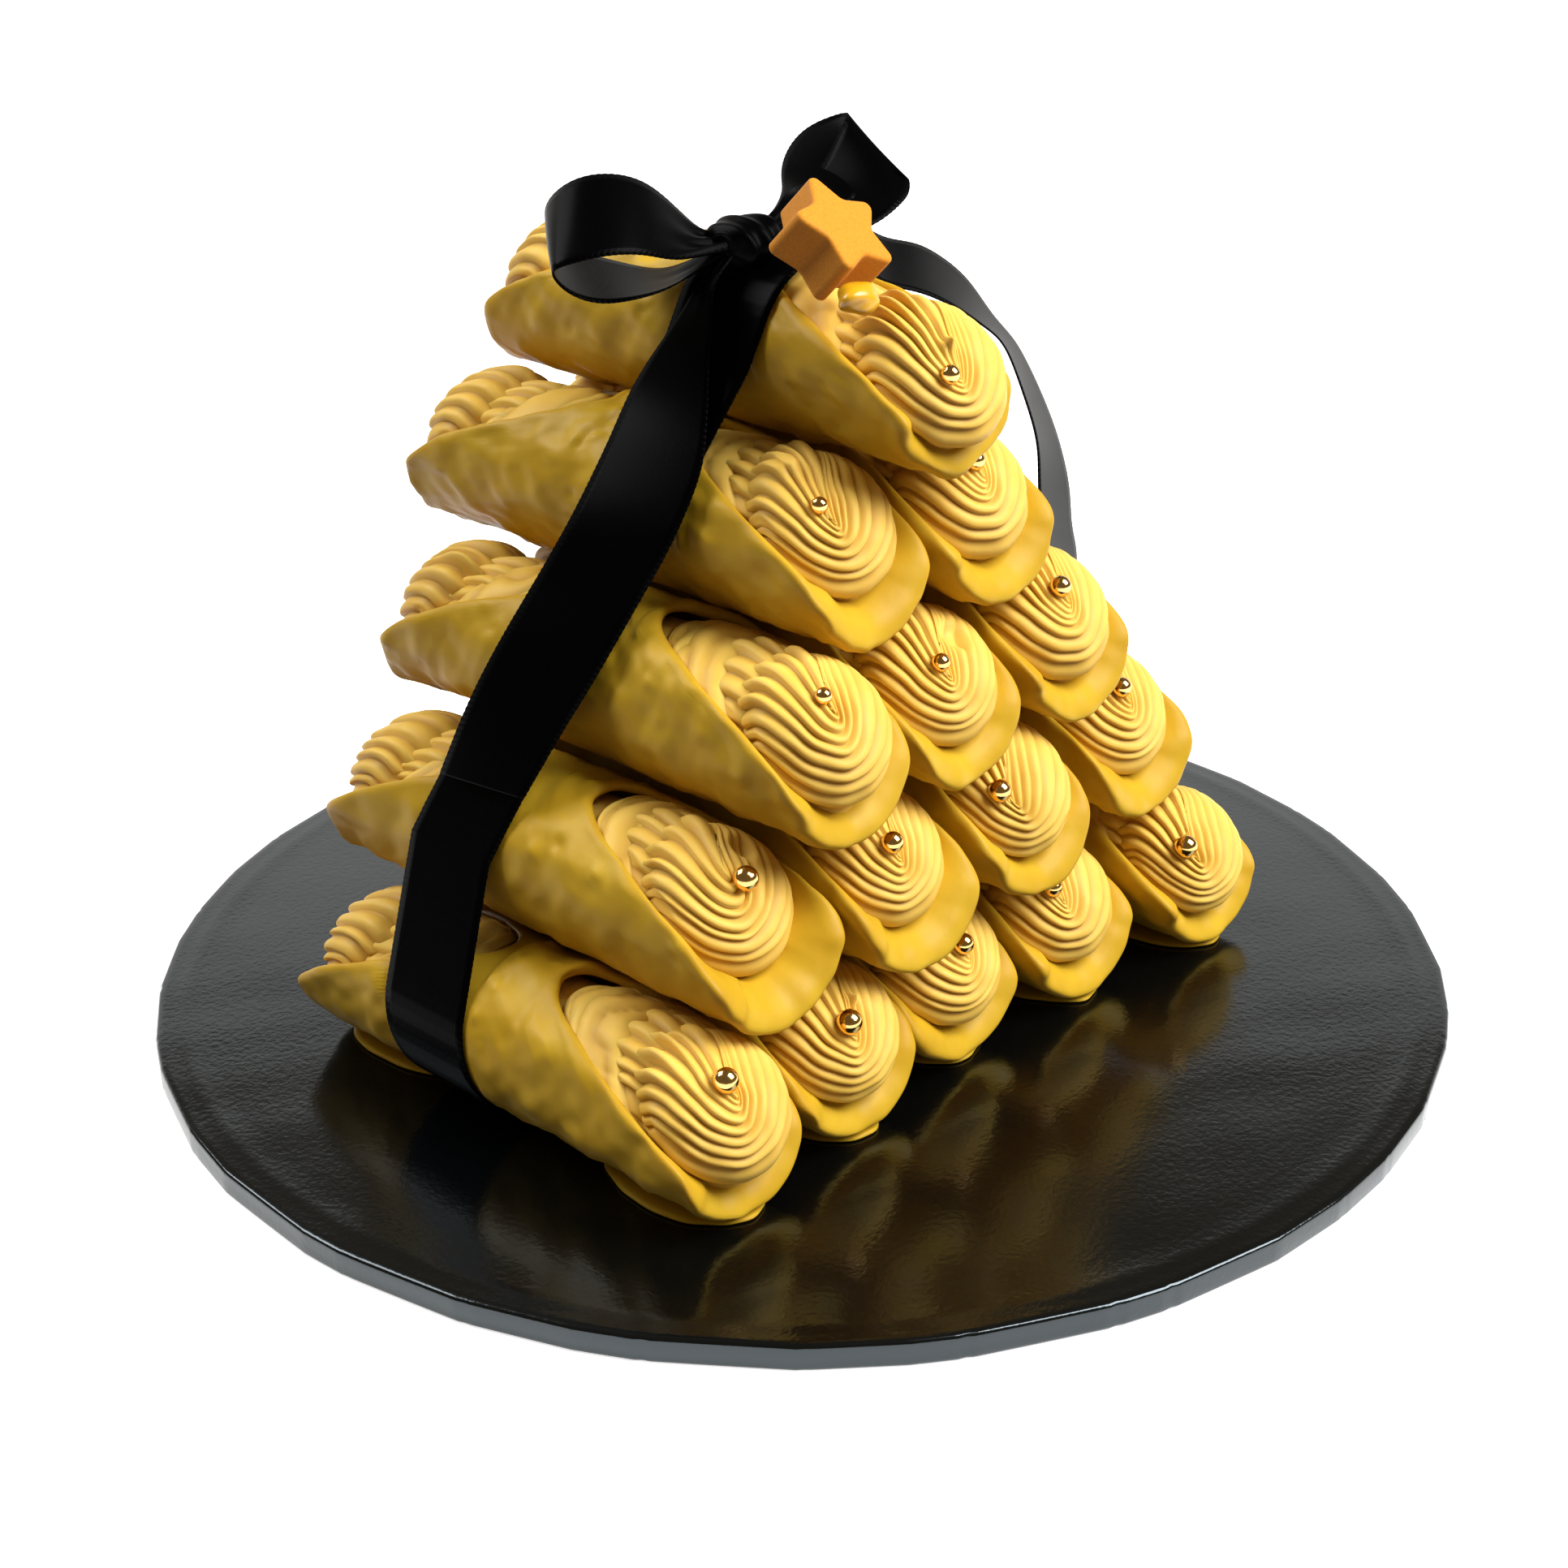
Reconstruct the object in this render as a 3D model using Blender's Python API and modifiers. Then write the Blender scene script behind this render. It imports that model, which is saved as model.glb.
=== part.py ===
"""Cannoli tower: fifteen filled pastry tubes stacked 5-4-3-2-1 on a round foil board,
with a star on top and a black ribbon tied round the stack.

Metres, +Z up. The origin is at the centre of the board's underside. The tubes lie
along Y with their shown ends at -Y, and the rows run along X.
"""

import math

import bmesh
import bpy
import numpy as np

# Board
BOARD_RADIUS = 0.1524
BOARD_THICKNESS = 0.006
BOARD_ROUND = 0.0012
BOARD_STEPS = 48
BOARD_WELD = 0.00001

# Tubes: (name, x, z of the axis, y of the front lip, length)
TUBES = (
    ("B1", -0.0882, 0.0253, -0.0700, 0.1262),
    ("B2", -0.0498, 0.0253, -0.0668, 0.1286),
    ("B3", -0.0113, 0.0253, -0.0633, 0.1286),
    ("B4", 0.0282, 0.0253, -0.0666, 0.1286),
    ("B5", 0.0691, 0.0253, -0.0730, 0.1286),
    ("A1", -0.0700, 0.0590, -0.0625, 0.1276),
    ("A2", -0.0311, 0.0582, -0.0672, 0.1286),
    ("A3", 0.0102, 0.0600, -0.0662, 0.1286),
    ("A4", 0.0555, 0.0615, -0.0615, 0.1286),
    ("C1", -0.0493, 0.0933, -0.0633, 0.1320),
    ("C2", -0.0106, 0.0926, -0.0614, 0.1286),
    ("C3", 0.0297, 0.0940, -0.0604, 0.1286),
    ("D1", -0.0301, 0.1272, -0.0514, 0.1302),
    ("D2", 0.0087, 0.1263, -0.0538, 0.1286),
    ("E1", -0.0110, 0.1606, -0.0566, 0.1273),
)
TUBE_HALF_WIDTH = 0.0190
TUBE_HALF_HEIGHT = 0.0188
LOW_TUBE_HALF_HEIGHT = 0.0180
WALL = 0.0030
TUBE_SIDES = 16
TUBE_ROWS = (0.0, 0.3, 0.68, 1.0)
WAVE = 0.00035
WAVE_ROW_STEP = 2.1
WAVE_SIDE_STEP = 1.7

# The lip runs level round the underside, then climbs back to a notch at the top
LIP_LEVEL_ANGLE = math.radians(68)
NOTCH_DEPTH = 0.053

# A flat foot of poured coating under each end of a bottom tube
FOOT_HALF_WIDTH = 0.017
FOOT_HALF_LENGTH = 0.0125
FOOT_PROUD = 0.003
FOOT_THICKNESS = 0.002
FOOT_GAP = 0.0003
FOOT_SIDES = 12

# Filling: a core along the tube with a ridged swirl over each end. A swirl is a dome over an
# oval disc that leans back, and it widens above the middle where it is clear of the tube.
FILL_GAP = 0.0014
SWIRL_TILT = math.radians(45)
SWIRL_HALF_WIDTH = 0.0149
SWIRL_HALF_LENGTH = 0.0165
SWIRL_HEIGHT = 0.0135
SWIRL_POWER = 2.2
SPREAD_START = 0.2
SPREAD = 0.3
PRESSED_RADIUS = 0.0185
LIP_CLEARANCE = 0.0030
LIP_EASE = 0.0120
RIDGE_HEIGHT = 0.0009
GROOVE_SHARE = 0.35
RIDGE_FADE = 0.4
RIDGE_SWELL = 0.25
RIDGE_SWELL_STEP = 1.3
RIDGE_SWELL_ACROSS = 2.0
POLE = (0.0010, 0.0035)
SLIT_HALF_WIDTH = 0.0006
SLIT_TOP = 0.995
FRONT_RIDGES = 6
FRONT_COLUMNS = 8
BACK_RIDGES = 4
BACK_COLUMNS = 6

# The heap behind a swirl meets the core close to the lip below and by the notch on top
HEAP_FLOOR_DROP = 0.0075
HEAP_FLOOR_LEAST = 0.0050
HEAP_LENGTH = 0.0440

# Swirl at the front of each tube: how far its middle lies behind the lip, and above the axis
FRONT_SWIRLS = {
    "B1": (0.0100, 0.0030),
    "B2": (0.0120, 0.0020),
    "B3": (0.0120, 0.0020),
    "B4": (0.0140, 0.0020),
    "B5": (0.0120, 0.0020),
    "A1": (0.0190, 0.0030),
    "A2": (0.0170, 0.0020),
    "A3": (0.0140, 0.0020),
    "A4": (0.0160, 0.0020),
    "C1": (0.0120, 0.0020),
    "C2": (0.0150, 0.0010),
    "C3": (0.0140, 0.0020),
    "D1": (0.0155, 0.0030),
    "D2": (0.0150, 0.0020),
    "E1": (0.0115, -0.0020),
}
BACK_SWIRL = (0.0120, 0.0020)

# Pearls: place on the front swirl, across and up from its middle, and radius
PEARL_SINK = 0.4
PEARL_SEGMENTS = 8
PEARL_RINGS = 5
PEARL_TURN = (0.4, 0.3, 0.2)
PEARLS = {
    "B1": (-0.0034, 0.0030, 0.0027),
    "B2": (-0.0042, -0.0016, 0.0028),
    "B3": (-0.0016, -0.0014, 0.0024),
    "B4": (-0.0078, 0.0008, 0.0023),
    "B5": (-0.0094, -0.0006, 0.0028),
    "A1": (-0.0014, -0.0004, 0.0027),
    "A2": (-0.0046, -0.0014, 0.0024),
    "A3": (-0.0108, -0.0018, 0.0026),
    "A4": (-0.0040, 0.0010, 0.0024),
    "C1": (-0.0044, 0.0034, 0.0018),
    "C2": (-0.0060, -0.0012, 0.0020),
    "C3": (-0.0040, 0.0010, 0.0024),
    "D1": (-0.0082, 0.0008, 0.0018),
    "D2": (-0.0040, 0.0010, 0.0022),
    "E1": (-0.0074, -0.0050, 0.0020),
}

# Star
STAR_CENTRE = (-0.0224, -0.0349, 0.1912)
STAR_NORMAL = (0.124, -0.673, 0.729)
STAR_TIP = 0.0136
STAR_WAIST = 0.0074
STAR_THICKNESS = 0.0110
STAR_TURN = math.radians(81.8)
STAR_ROUND = 0.0012
STAR_POINTS = 5

# Dab of icing that holds the star
DAB_CENTRE = (-0.0232, -0.0415, 0.1790)
DAB_SIZE = (0.0040, 0.0030, 0.0022)
DAB_SIDES = (10, 6)

# Ribbon
RIBBON_WIDTH = 0.025
RIBBON_THICKNESS = 0.00035
BAND_OFFSET = 0.00065
BAND_SAMPLES = 24
BAND_TOP_Y = -0.006
BAND_LEFT_Y = 0.0170
BAND_RIGHT_Y = 0.0080
BAND_BOTTOM_Y = 0.0020
BAND_WIDEST_Z = 0.062

KNOT_CENTRE = (-0.0190, -0.0040, 0.1836)
KNOT_SIZE = (0.0058, 0.0070, 0.0038)
KNOT_SIDES = (12, 8)

# Ribbon pieces: centre, then the vector across the whole width, in millimetres
LEFT_LOOP = (
    ((-27.0, -0.5, 182.5), (-7.5, -7.5, -1.0)),
    ((-32.0, 1.5, 184.5), (-11.5, -10.0, -5.5)),
    ((-40.0, 4.0, 189.5), (-15.0, -13.0, -9.5)),
    ((-47.0, 7.5, 191.0), (-16.0, -14.0, -11.5)),
    ((-53.0, 11.5, 190.0), (-14.5, -14.5, -12.0)),
    ((-55.5, 15.5, 187.0), (-14.5, -17.0, -8.5)),
    ((-53.0, 18.0, 183.5), (-14.0, -18.0, -7.0)),
    ((-50.0, 18.5, 179.5), (-13.5, -19.0, -6.0)),
    ((-45.0, 16.0, 176.5), (-11.5, -19.0, -5.5)),
    ((-37.5, 10.5, 175.0), (-14.0, -17.0, -1.5)),
    ((-32.0, 6.5, 175.0), (-11.5, -13.5, 0.5)),
    ((-28.0, 2.0, 178.0), (-8.5, -10.0, 0.5)),
)
RIGHT_LOOP = (
    ((-12.0, -6.5, 184.0), (-5.0, -8.5, -2.0)),
    ((-4.5, -8.0, 185.5), (-5.5, -17.0, -6.5)),
    ((6.5, -8.0, 186.5), (-4.5, -23.0, -4.5)),
    ((13.0, -8.0, 190.0), (-2.5, -23.0, -6.0)),
    ((19.5, -6.5, 194.5), (-3.0, -20.5, -12.5)),
    ((22.5, -4.0, 196.0), (-5.0, -21.5, -9.5)),
    ((18.0, 1.0, 194.5), (-4.0, -22.5, -7.0)),
    ((12.0, 2.0, 191.5), (-5.5, -22.5, -6.0)),
    ((5.0, -0.5, 188.5), (-7.5, -20.5, -4.0)),
    ((-3.0, -3.5, 186.5), (-8.5, -16.0, -2.0)),
    ((-11.5, -5.5, 184.0), (-5.0, -8.0, -1.5)),
)
LEFT_TAIL = (
    ((-31.5, -5.0, 176.0), (0.0, -4.0, 0.0)),
    ((-34.0, -4.5, 169.5), (0.0, -9.0, 0.0)),
    ((-36.5, -3.0, 162.5), (0.0, -14.5, 0.0)),
    ((-40.5, -2.5, 153.5), (0.0, -22.0, 0.0)),
    ((-47.5, -4.5, 143.0), (2.5, -25.0, -0.5)),
    ((-56.5, -4.0, 130.0), (4.5, -24.5, -1.5)),
    ((-63.5, 0.0, 117.0), (4.5, -24.5, -2.0)),
    ((-72.0, 4.0, 103.0), (4.5, -24.5, -2.5)),
    ((-78.5, 8.0, 90.5), (4.0, -24.5, -1.0)),
    ((-85.5, 11.5, 76.5), (1.5, -25.0, 1.5)),
)
RIGHT_TAIL = (
    ((-9.5, -6.0, 182.5), (-5.0, -7.0, -1.0)),
    ((0.0, -7.5, 182.5), (-10.0, -9.5, -3.5)),
    ((8.5, -9.0, 178.5), (-11.0, -10.5, -5.0)),
    ((16.5, -11.0, 172.5), (-13.5, -12.5, -5.5)),
    ((22.0, -13.0, 171.0), (-16.0, -13.0, -5.0)),
    ((27.5, -15.0, 168.5), (-17.5, -14.5, -4.0)),
    ((34.0, -18.0, 163.5), (-20.5, -14.5, -0.5)),
    ((40.5, -21.0, 156.0), (-20.5, -14.0, 4.5)),
    ((45.5, -23.0, 150.5), (-20.5, -13.0, 6.0)),
    ((50.0, -26.0, 139.0), (-21.0, -11.5, 6.5)),
    ((54.0, -28.0, 127.0), (-21.5, -10.5, 6.5)),
    ((55.0, -29.5, 116.0), (-22.5, -8.5, 7.0)),
    ((56.5, -29.5, 106.0), (-22.5, -8.5, 7.0)),
    ((60.0, -29.0, 96.5), (-22.5, -8.5, 7.5)),
    ((60.0, -28.0, 85.0), (-22.0, -8.5, 8.0)),
)

MM = 0.001
SAME_POINT = 1e-7
STRAIGHT = 1e-9


def clear_scene():
    for item in list(bpy.data.objects):
        bpy.data.objects.remove(item, do_unlink=True)


def material(name, colour, roughness, metallic=0.0):
    made = bpy.data.materials.new(name)
    made.use_nodes = True
    shader = made.node_tree.nodes["Principled BSDF"]
    shader.inputs["Base Color"].default_value = (*colour, 1.0)
    shader.inputs["Roughness"].default_value = roughness
    shader.inputs["Metallic"].default_value = metallic
    return made


def mesh_object(name, points, faces, holder, surface=None):
    """A mesh object with its faces turned outwards."""
    data = bpy.data.meshes.new(name)
    data.from_pydata([tuple(map(float, p)) for p in points], [], faces)
    form = bmesh.new()
    form.from_mesh(data)
    bmesh.ops.remove_doubles(form, verts=form.verts, dist=SAME_POINT)
    bmesh.ops.recalc_face_normals(form, faces=form.faces)
    form.to_mesh(data)
    form.free()
    made = bpy.data.objects.new(name, data)
    holder.objects.link(made)
    if surface:
        data.materials.append(surface)
    return made


def join_to(body, other, helpers):
    """Union of the other object into the body."""
    helpers.objects.link(other)
    other.hide_render = True
    other.display_type = "WIRE"
    union = body.modifiers.new("join " + other.name, "BOOLEAN")
    union.operation = "UNION"
    union.solver = "EXACT"
    union.object = other


def board(holder, surface):
    """The board's section, turned about the centre line."""
    edge = BOARD_ROUND
    half_corner = edge * (1 - math.sqrt(0.5))
    section = (
        (0.0, 0.0),
        (BOARD_RADIUS - edge, 0.0),
        (BOARD_RADIUS - half_corner, half_corner),
        (BOARD_RADIUS, edge),
        (BOARD_RADIUS, BOARD_THICKNESS - edge),
        (BOARD_RADIUS - half_corner, BOARD_THICKNESS - half_corner),
        (BOARD_RADIUS - edge, BOARD_THICKNESS),
        (0.0, BOARD_THICKNESS),
    )
    data = bpy.data.meshes.new("board")
    edges = [(i, i + 1) for i in range(len(section) - 1)]
    data.from_pydata([(r, 0.0, z) for r, z in section], edges, [])
    made = bpy.data.objects.new("board", data)
    holder.objects.link(made)
    turn = made.modifiers.new("turn", "SCREW")
    turn.steps = BOARD_STEPS
    turn.render_steps = BOARD_STEPS
    turn.use_merge_vertices = True
    turn.merge_threshold = BOARD_WELD
    turn.use_normal_calculate = True
    data.materials.append(surface)
    return made


def lip_setback(angle):
    """How far the lip lies behind the tube's tip, at an angle from the underside."""
    share = np.clip((np.abs(angle) - LIP_LEVEL_ANGLE) / (math.pi - LIP_LEVEL_ANGLE), 0.0, 1.0)
    return NOTCH_DEPTH * 0.5 * (1 - np.cos(math.pi * share))


def tube_angles():
    steps = np.arange(TUBE_SIDES)
    angles = steps * 2 * math.pi / TUBE_SIDES
    return np.where(angles > math.pi, angles - 2 * math.pi, angles)


def tube(name, x, z, front, length, half_height, holder, surface):
    """A rolled tube: its outer face as rows of rings, and a wall thickened inwards."""
    seed = sum(map(ord, name))
    points = []
    for row, share in enumerate(TUBE_ROWS):
        for step, angle in enumerate(tube_angles()):
            setback = lip_setback(angle)
            y = front + setback + share * (length - 2 * setback)
            dip = 0.0
            if 0 < row < len(TUBE_ROWS) - 1:
                phase = seed + WAVE_ROW_STEP * row + WAVE_SIDE_STEP * step
                dip = WAVE * 0.5 * (1 + math.sin(phase))
            across = (TUBE_HALF_WIDTH - dip) * math.sin(angle)
            up = -(half_height - dip) * math.cos(angle)
            points.append((x + across, y, z + up))
    faces = []
    for row in range(len(TUBE_ROWS) - 1):
        for step in range(TUBE_SIDES):
            a = row * TUBE_SIDES + step
            b = row * TUBE_SIDES + (step + 1) % TUBE_SIDES
            faces.append((a, b, b + TUBE_SIDES, a + TUBE_SIDES))
    made = mesh_object(name, points, faces, holder, surface)
    wall = made.modifiers.new("wall", "SOLIDIFY")
    wall.thickness = WALL
    wall.offset = -1.0
    wall.use_even_offset = True
    return made


def foot(name, x, y):
    """An oval plate of set coating, close over the board."""
    base = BOARD_THICKNESS + FOOT_GAP
    points = []
    for z in (base, base + FOOT_THICKNESS):
        for step in range(FOOT_SIDES):
            angle = 2 * math.pi * (step + 0.5) / FOOT_SIDES
            across = FOOT_HALF_WIDTH * math.cos(angle)
            along = FOOT_HALF_LENGTH * math.sin(angle)
            points.append((x + across, y + along, z))
    faces = [tuple(range(FOOT_SIDES)), tuple(range(FOOT_SIDES, 2 * FOOT_SIDES))]
    for step in range(FOOT_SIDES):
        after = (step + 1) % FOOT_SIDES
        faces.append((step, after, after + FOOT_SIDES, step + FOOT_SIDES))
    data = bpy.data.meshes.new(name)
    data.from_pydata(points, [], faces)
    form = bmesh.new()
    form.from_mesh(data)
    bmesh.ops.recalc_face_normals(form, faces=form.faces)
    form.to_mesh(data)
    form.free()
    return bpy.data.objects.new(name, data)


def swirl_map(rows, columns):
    """A patch over an oval disc whose lines are U shapes round a pole.

    Sides of the patch: a slit from the top down to the pole and back, the oval's
    lower half, and the oval's upper left and right quarters.
    """
    t = np.linspace(0.0, 1.0, rows + 1)[:, None]
    s = np.linspace(0.0, 1.0, columns + 1)[None, :]
    width, height = SWIRL_HALF_WIDTH, SWIRL_HALF_LENGTH
    slit = SLIT_HALF_WIDTH
    pole_x, pole_v = POLE
    top_v = height * SLIT_TOP

    down = np.abs(2 * s - 1)
    inner_x = pole_x + slit * np.sign(2 * s - 1) * down
    inner_v = pole_v + (top_v - pole_v) * down
    lower = math.pi * (1 + s)
    outer_x = width * np.cos(lower)
    outer_v = height * np.sin(lower)
    start = math.asin(min(1.0, pole_x / width))
    left = math.pi / 2 - start + t * (math.pi / 2 + start)
    right = math.pi / 2 - start - t * (math.pi / 2 - start)
    left_x = width * np.cos(left) - slit * (1 - t)
    left_v = height * np.sin(left)
    right_x = width * np.cos(right) + slit * (1 - t)
    right_v = height * np.sin(right)

    def coons(inner, outer, at_left, at_right):
        corners = (
            (1 - t) * (1 - s) * inner[:, :1]
            + (1 - t) * s * inner[:, -1:]
            + t * (1 - s) * outer[:, :1]
            + t * s * outer[:, -1:]
        )
        blend = (1 - t) * inner + t * outer + (1 - s) * at_left + s * at_right
        return blend - corners

    across = coons(inner_x, outer_x, left_x, right_x)
    up = coons(inner_v, outer_v, left_v, right_v)
    return across, up


def dome(across, up):
    """Height of the swirl over its disc."""
    share = (across / SWIRL_HALF_WIDTH) ** 2 + (up / SWIRL_HALF_LENGTH) ** 2
    share = np.clip(share, 0.0, 1.0) ** (SWIRL_POWER / 2)
    return SWIRL_HEIGHT * (1 - share) ** (1 / SWIRL_POWER)


def swirl_points(ridges, columns, twist):
    """Rows of points over a swirl: (across, up, out) from the middle of its disc."""
    rows = 2 * ridges
    across, up = swirl_map(rows, columns)
    out = dome(across, up)
    row = np.arange(rows + 1)[:, None] + np.zeros_like(out)
    ridge = np.where(row % 2 == 1, 1.0, -GROOVE_SHARE)
    inside = np.clip(out / (RIDGE_FADE * SWIRL_HEIGHT), 0.0, 1.0)
    phase = twist + RIDGE_SWELL_STEP * row + RIDGE_SWELL_ACROSS * across / SWIRL_HALF_WIDTH
    out = out + RIDGE_HEIGHT * ridge * inside * (1 + RIDGE_SWELL * np.sin(phase))
    lift = np.clip((up / SWIRL_HALF_LENGTH - SPREAD_START) / (1 - SPREAD_START), 0.0, 1.0)
    spread = 1 + SPREAD * lift * lift
    return np.stack([across * spread, up * spread, out], axis=-1)


def swirl_mesh(grid):
    """Points and faces of a swirl, with its rim as a loop of point numbers."""
    rows, columns = grid.shape[0] - 1, grid.shape[1] - 1
    number = np.arange(grid.shape[0] * grid.shape[1]).reshape(grid.shape[:2])
    faces = []
    for i in range(rows):
        for j in range(columns):
            faces.append(
                (number[i, j], number[i, j + 1], number[i + 1, j + 1], number[i + 1, j])
            )
    for j in range(columns // 2):
        quad = [number[0, j], number[0, j + 1]]
        quad += [number[0, columns - j - 1], number[0, columns - j]]
        faces.append(tuple(dict.fromkeys(quad)))
    rim = list(number[rows, :])
    rim += [number[i, columns] for i in range(rows - 1, -1, -1)]
    rim += [number[i, 0] for i in range(rows)]
    return grid.reshape(-1, 3), faces, rim


def zip_loops(first, second, first_angles, second_angles):
    """Triangles between two closed loops, stepping along whichever is behind."""
    faces = []
    i = j = 0
    while i < len(first) or j < len(second):
        next_i = first_angles[i + 1] if i < len(first) else math.inf
        next_j = second_angles[j + 1] if j < len(second) else math.inf
        a, b = first[i % len(first)], second[j % len(second)]
        if next_i <= next_j:
            faces.append((a, first[(i + 1) % len(first)], b))
            i += 1
        else:
            faces.append((a, second[(j + 1) % len(second)], b))
            j += 1
    return faces


def ordered_loop(loop, points, centre):
    """The loop from its lowest angle on, counter-clockwise, with its angles."""
    spot = np.asarray(points)[loop]
    angles = np.arctan2(spot[:, 2] - centre[1], spot[:, 0] - centre[0])
    turns = np.unwrap(angles)
    if turns[-1] < turns[0]:
        loop = loop[::-1]
        angles = angles[::-1]
    first = int(np.argmin(angles))
    loop = list(loop[first:]) + list(loop[:first])
    angles = np.concatenate([angles[first:], angles[:first]])
    angles = np.maximum.accumulate(np.append(angles, angles[0] + 2 * math.pi))
    return [int(n) for n in loop], angles


def in_tube(local, tube_row, half_height, end):
    """Places (across, up, out) of a swirl in the tube.

    It keeps inside the wall where it is behind the lip, and elsewhere it is pressed in
    where tubes lie above.
    """
    tube_name, x, z, front, length = tube_row
    setback, raised = FRONT_SWIRLS[tube_name] if end == "front" else BACK_SWIRL
    squash = half_height / TUBE_HALF_HEIGHT
    across, up, out = np.asarray(local, float).T
    up = up + raised
    inward = setback + up * math.sin(SWIRL_TILT) - out * math.cos(SWIRL_TILT)
    high = squash * (up * math.cos(SWIRL_TILT) + out * math.sin(SWIRL_TILT))
    y = front + inward if end == "front" else front + length - inward

    inner_width = TUBE_HALF_WIDTH - WALL - FILL_GAP
    inner_height = half_height - WALL - FILL_GAP
    lip = lip_setback(np.arctan2(across, -high))
    free = np.clip((lip - LIP_CLEARANCE - inward) / LIP_EASE, 0.0, 1.0)
    wide = inner_width + (PRESSED_RADIUS - inner_width) * free
    tall = inner_height + (PRESSED_RADIUS - inner_height) * free
    fill = np.maximum(np.hypot(across / wide, high / tall), 1.0)
    return np.stack([x + across / fill, y, z + high / fill], axis=-1)


def core_ring(tube_row, half_height, end):
    """Where the swirl's heap meets the core, as a ring just inside the wall."""
    tube_name, x, z, front, length = tube_row
    setback = FRONT_SWIRLS[tube_name][0] if end == "front" else BACK_SWIRL[0]
    floor = max(setback - HEAP_FLOOR_DROP, HEAP_FLOOR_LEAST)
    inner_width = TUBE_HALF_WIDTH - WALL - FILL_GAP
    inner_height = half_height - WALL - FILL_GAP
    ring = []
    for angle in tube_angles():
        inward = floor + (HEAP_LENGTH - floor) * 0.5 * (1 - math.cos(angle))
        y = front + inward if end == "front" else front + length - inward
        ring.append((x + inner_width * math.sin(angle), y, z - inner_height * math.cos(angle)))
    return ring


def filling(name, tube_row, half_height, holder, helpers, surface):
    """The filling of one tube, from the front swirl through to the back one."""
    tube_name, x, z = tube_row[:3]
    seed = sum(map(ord, tube_name))
    points, faces, rings = [], [], []
    for end, ridges, columns in (
        ("front", FRONT_RIDGES, FRONT_COLUMNS),
        ("back", BACK_RIDGES, BACK_COLUMNS),
    ):
        grid = swirl_points(ridges, columns, seed + len(end))
        local, local_faces, rim = swirl_mesh(grid)
        base = len(points)
        points.extend(in_tube(local, tube_row, half_height, end).tolist())
        faces.extend(tuple(int(n) + base for n in face) for face in local_faces)
        ring = list(range(len(points), len(points) + TUBE_SIDES))
        points.extend(core_ring(tube_row, half_height, end))
        rings.append(ring)
        rim_loop, rim_angles = ordered_loop([int(n) + base for n in rim], points, (x, z))
        ring_loop, ring_angles = ordered_loop(ring, points, (x, z))
        faces.extend(zip_loops(rim_loop, ring_loop, rim_angles, ring_angles))
    for step in range(TUBE_SIDES):
        after = (step + 1) % TUBE_SIDES
        faces.append((rings[0][step], rings[0][after], rings[1][after], rings[1][step]))
    made = mesh_object(name, points, faces, holder, surface)

    across, up, radius = PEARLS[tube_name]
    rise = float(dome(np.array(across), np.array(up))) + radius * (1 - PEARL_SINK)
    pearl = bpy.data.meshes.new("pearl_" + tube_name)
    form = bmesh.new()
    bmesh.ops.create_uvsphere(
        form, u_segments=PEARL_SEGMENTS, v_segments=PEARL_RINGS, radius=radius
    )
    form.to_mesh(pearl)
    form.free()
    ball = bpy.data.objects.new("pearl_" + tube_name, pearl)
    ball.location = in_tube([(across, up, rise)], tube_row, half_height, "front")[0].tolist()
    ball.rotation_euler = PEARL_TURN
    join_to(made, ball, helpers)
    return made


def unit(vector):
    vector = np.asarray(vector, float)
    return vector / np.linalg.norm(vector)


def star(holder, surface):
    """A thick five-pointed star with rounded edges, leaning back."""
    out = unit(STAR_NORMAL)
    across = unit(np.cross((0.0, 0.0, 1.0), out))
    up = np.cross(out, across)
    points = []
    corners = 2 * STAR_POINTS
    for step in range(corners):
        radius = STAR_TIP if step % 2 == 0 else STAR_WAIST
        angle = STAR_TURN + step * math.pi / STAR_POINTS
        spot = radius * (math.cos(angle) * across + math.sin(angle) * up)
        points.append(np.asarray(STAR_CENTRE) + spot - STAR_THICKNESS * out)
    made = mesh_object("star", points, [tuple(range(corners))], holder, surface)
    if np.dot(np.asarray(made.data.polygons[0].normal), out) < 0:
        made.data.flip_normals()
    thick = made.modifiers.new("thick", "SOLIDIFY")
    thick.thickness = STAR_THICKNESS
    thick.offset = 1.0
    soft = made.modifiers.new("soft", "BEVEL")
    soft.width = STAR_ROUND
    soft.segments = 1
    return made


def blob(name, centre, size, sides, holder, surface):
    """A ball of the given half sizes, with its sides round and its rings from pole to pole."""
    data = bpy.data.meshes.new(name)
    form = bmesh.new()
    bmesh.ops.create_uvsphere(form, u_segments=sides[0], v_segments=sides[1], radius=1.0)
    for vertex in form.verts:
        for axis in range(3):
            vertex.co[axis] = centre[axis] + size[axis] * vertex.co[axis]
    form.to_mesh(data)
    form.free()
    made = bpy.data.objects.new(name, data)
    holder.objects.link(made)
    data.materials.append(surface)
    return made


def strip(name, stations, closed, holder, surface):
    """A flat ribbon through stations of (centre, vector across the width)."""
    points = []
    for centre, across in stations:
        centre, across = np.asarray(centre, float), np.asarray(across, float)
        points.append(centre - 0.5 * across)
        points.append(centre + 0.5 * across)
    count = len(stations)
    faces = []
    for step in range(count if closed else count - 1):
        after = (step + 1) % count
        faces.append((2 * step, 2 * step + 1, 2 * after + 1, 2 * after))
    made = mesh_object(name, points, faces, holder, surface)
    thick = made.modifiers.new("thick", "SOLIDIFY")
    thick.thickness = RIBBON_THICKNESS
    thick.offset = 0.0
    thick.use_even_offset = True
    thick.use_quality_normals = True
    return made


def in_metres(stations):
    return [(np.array(c) * MM, np.array(w) * MM) for c, w in stations]


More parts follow.
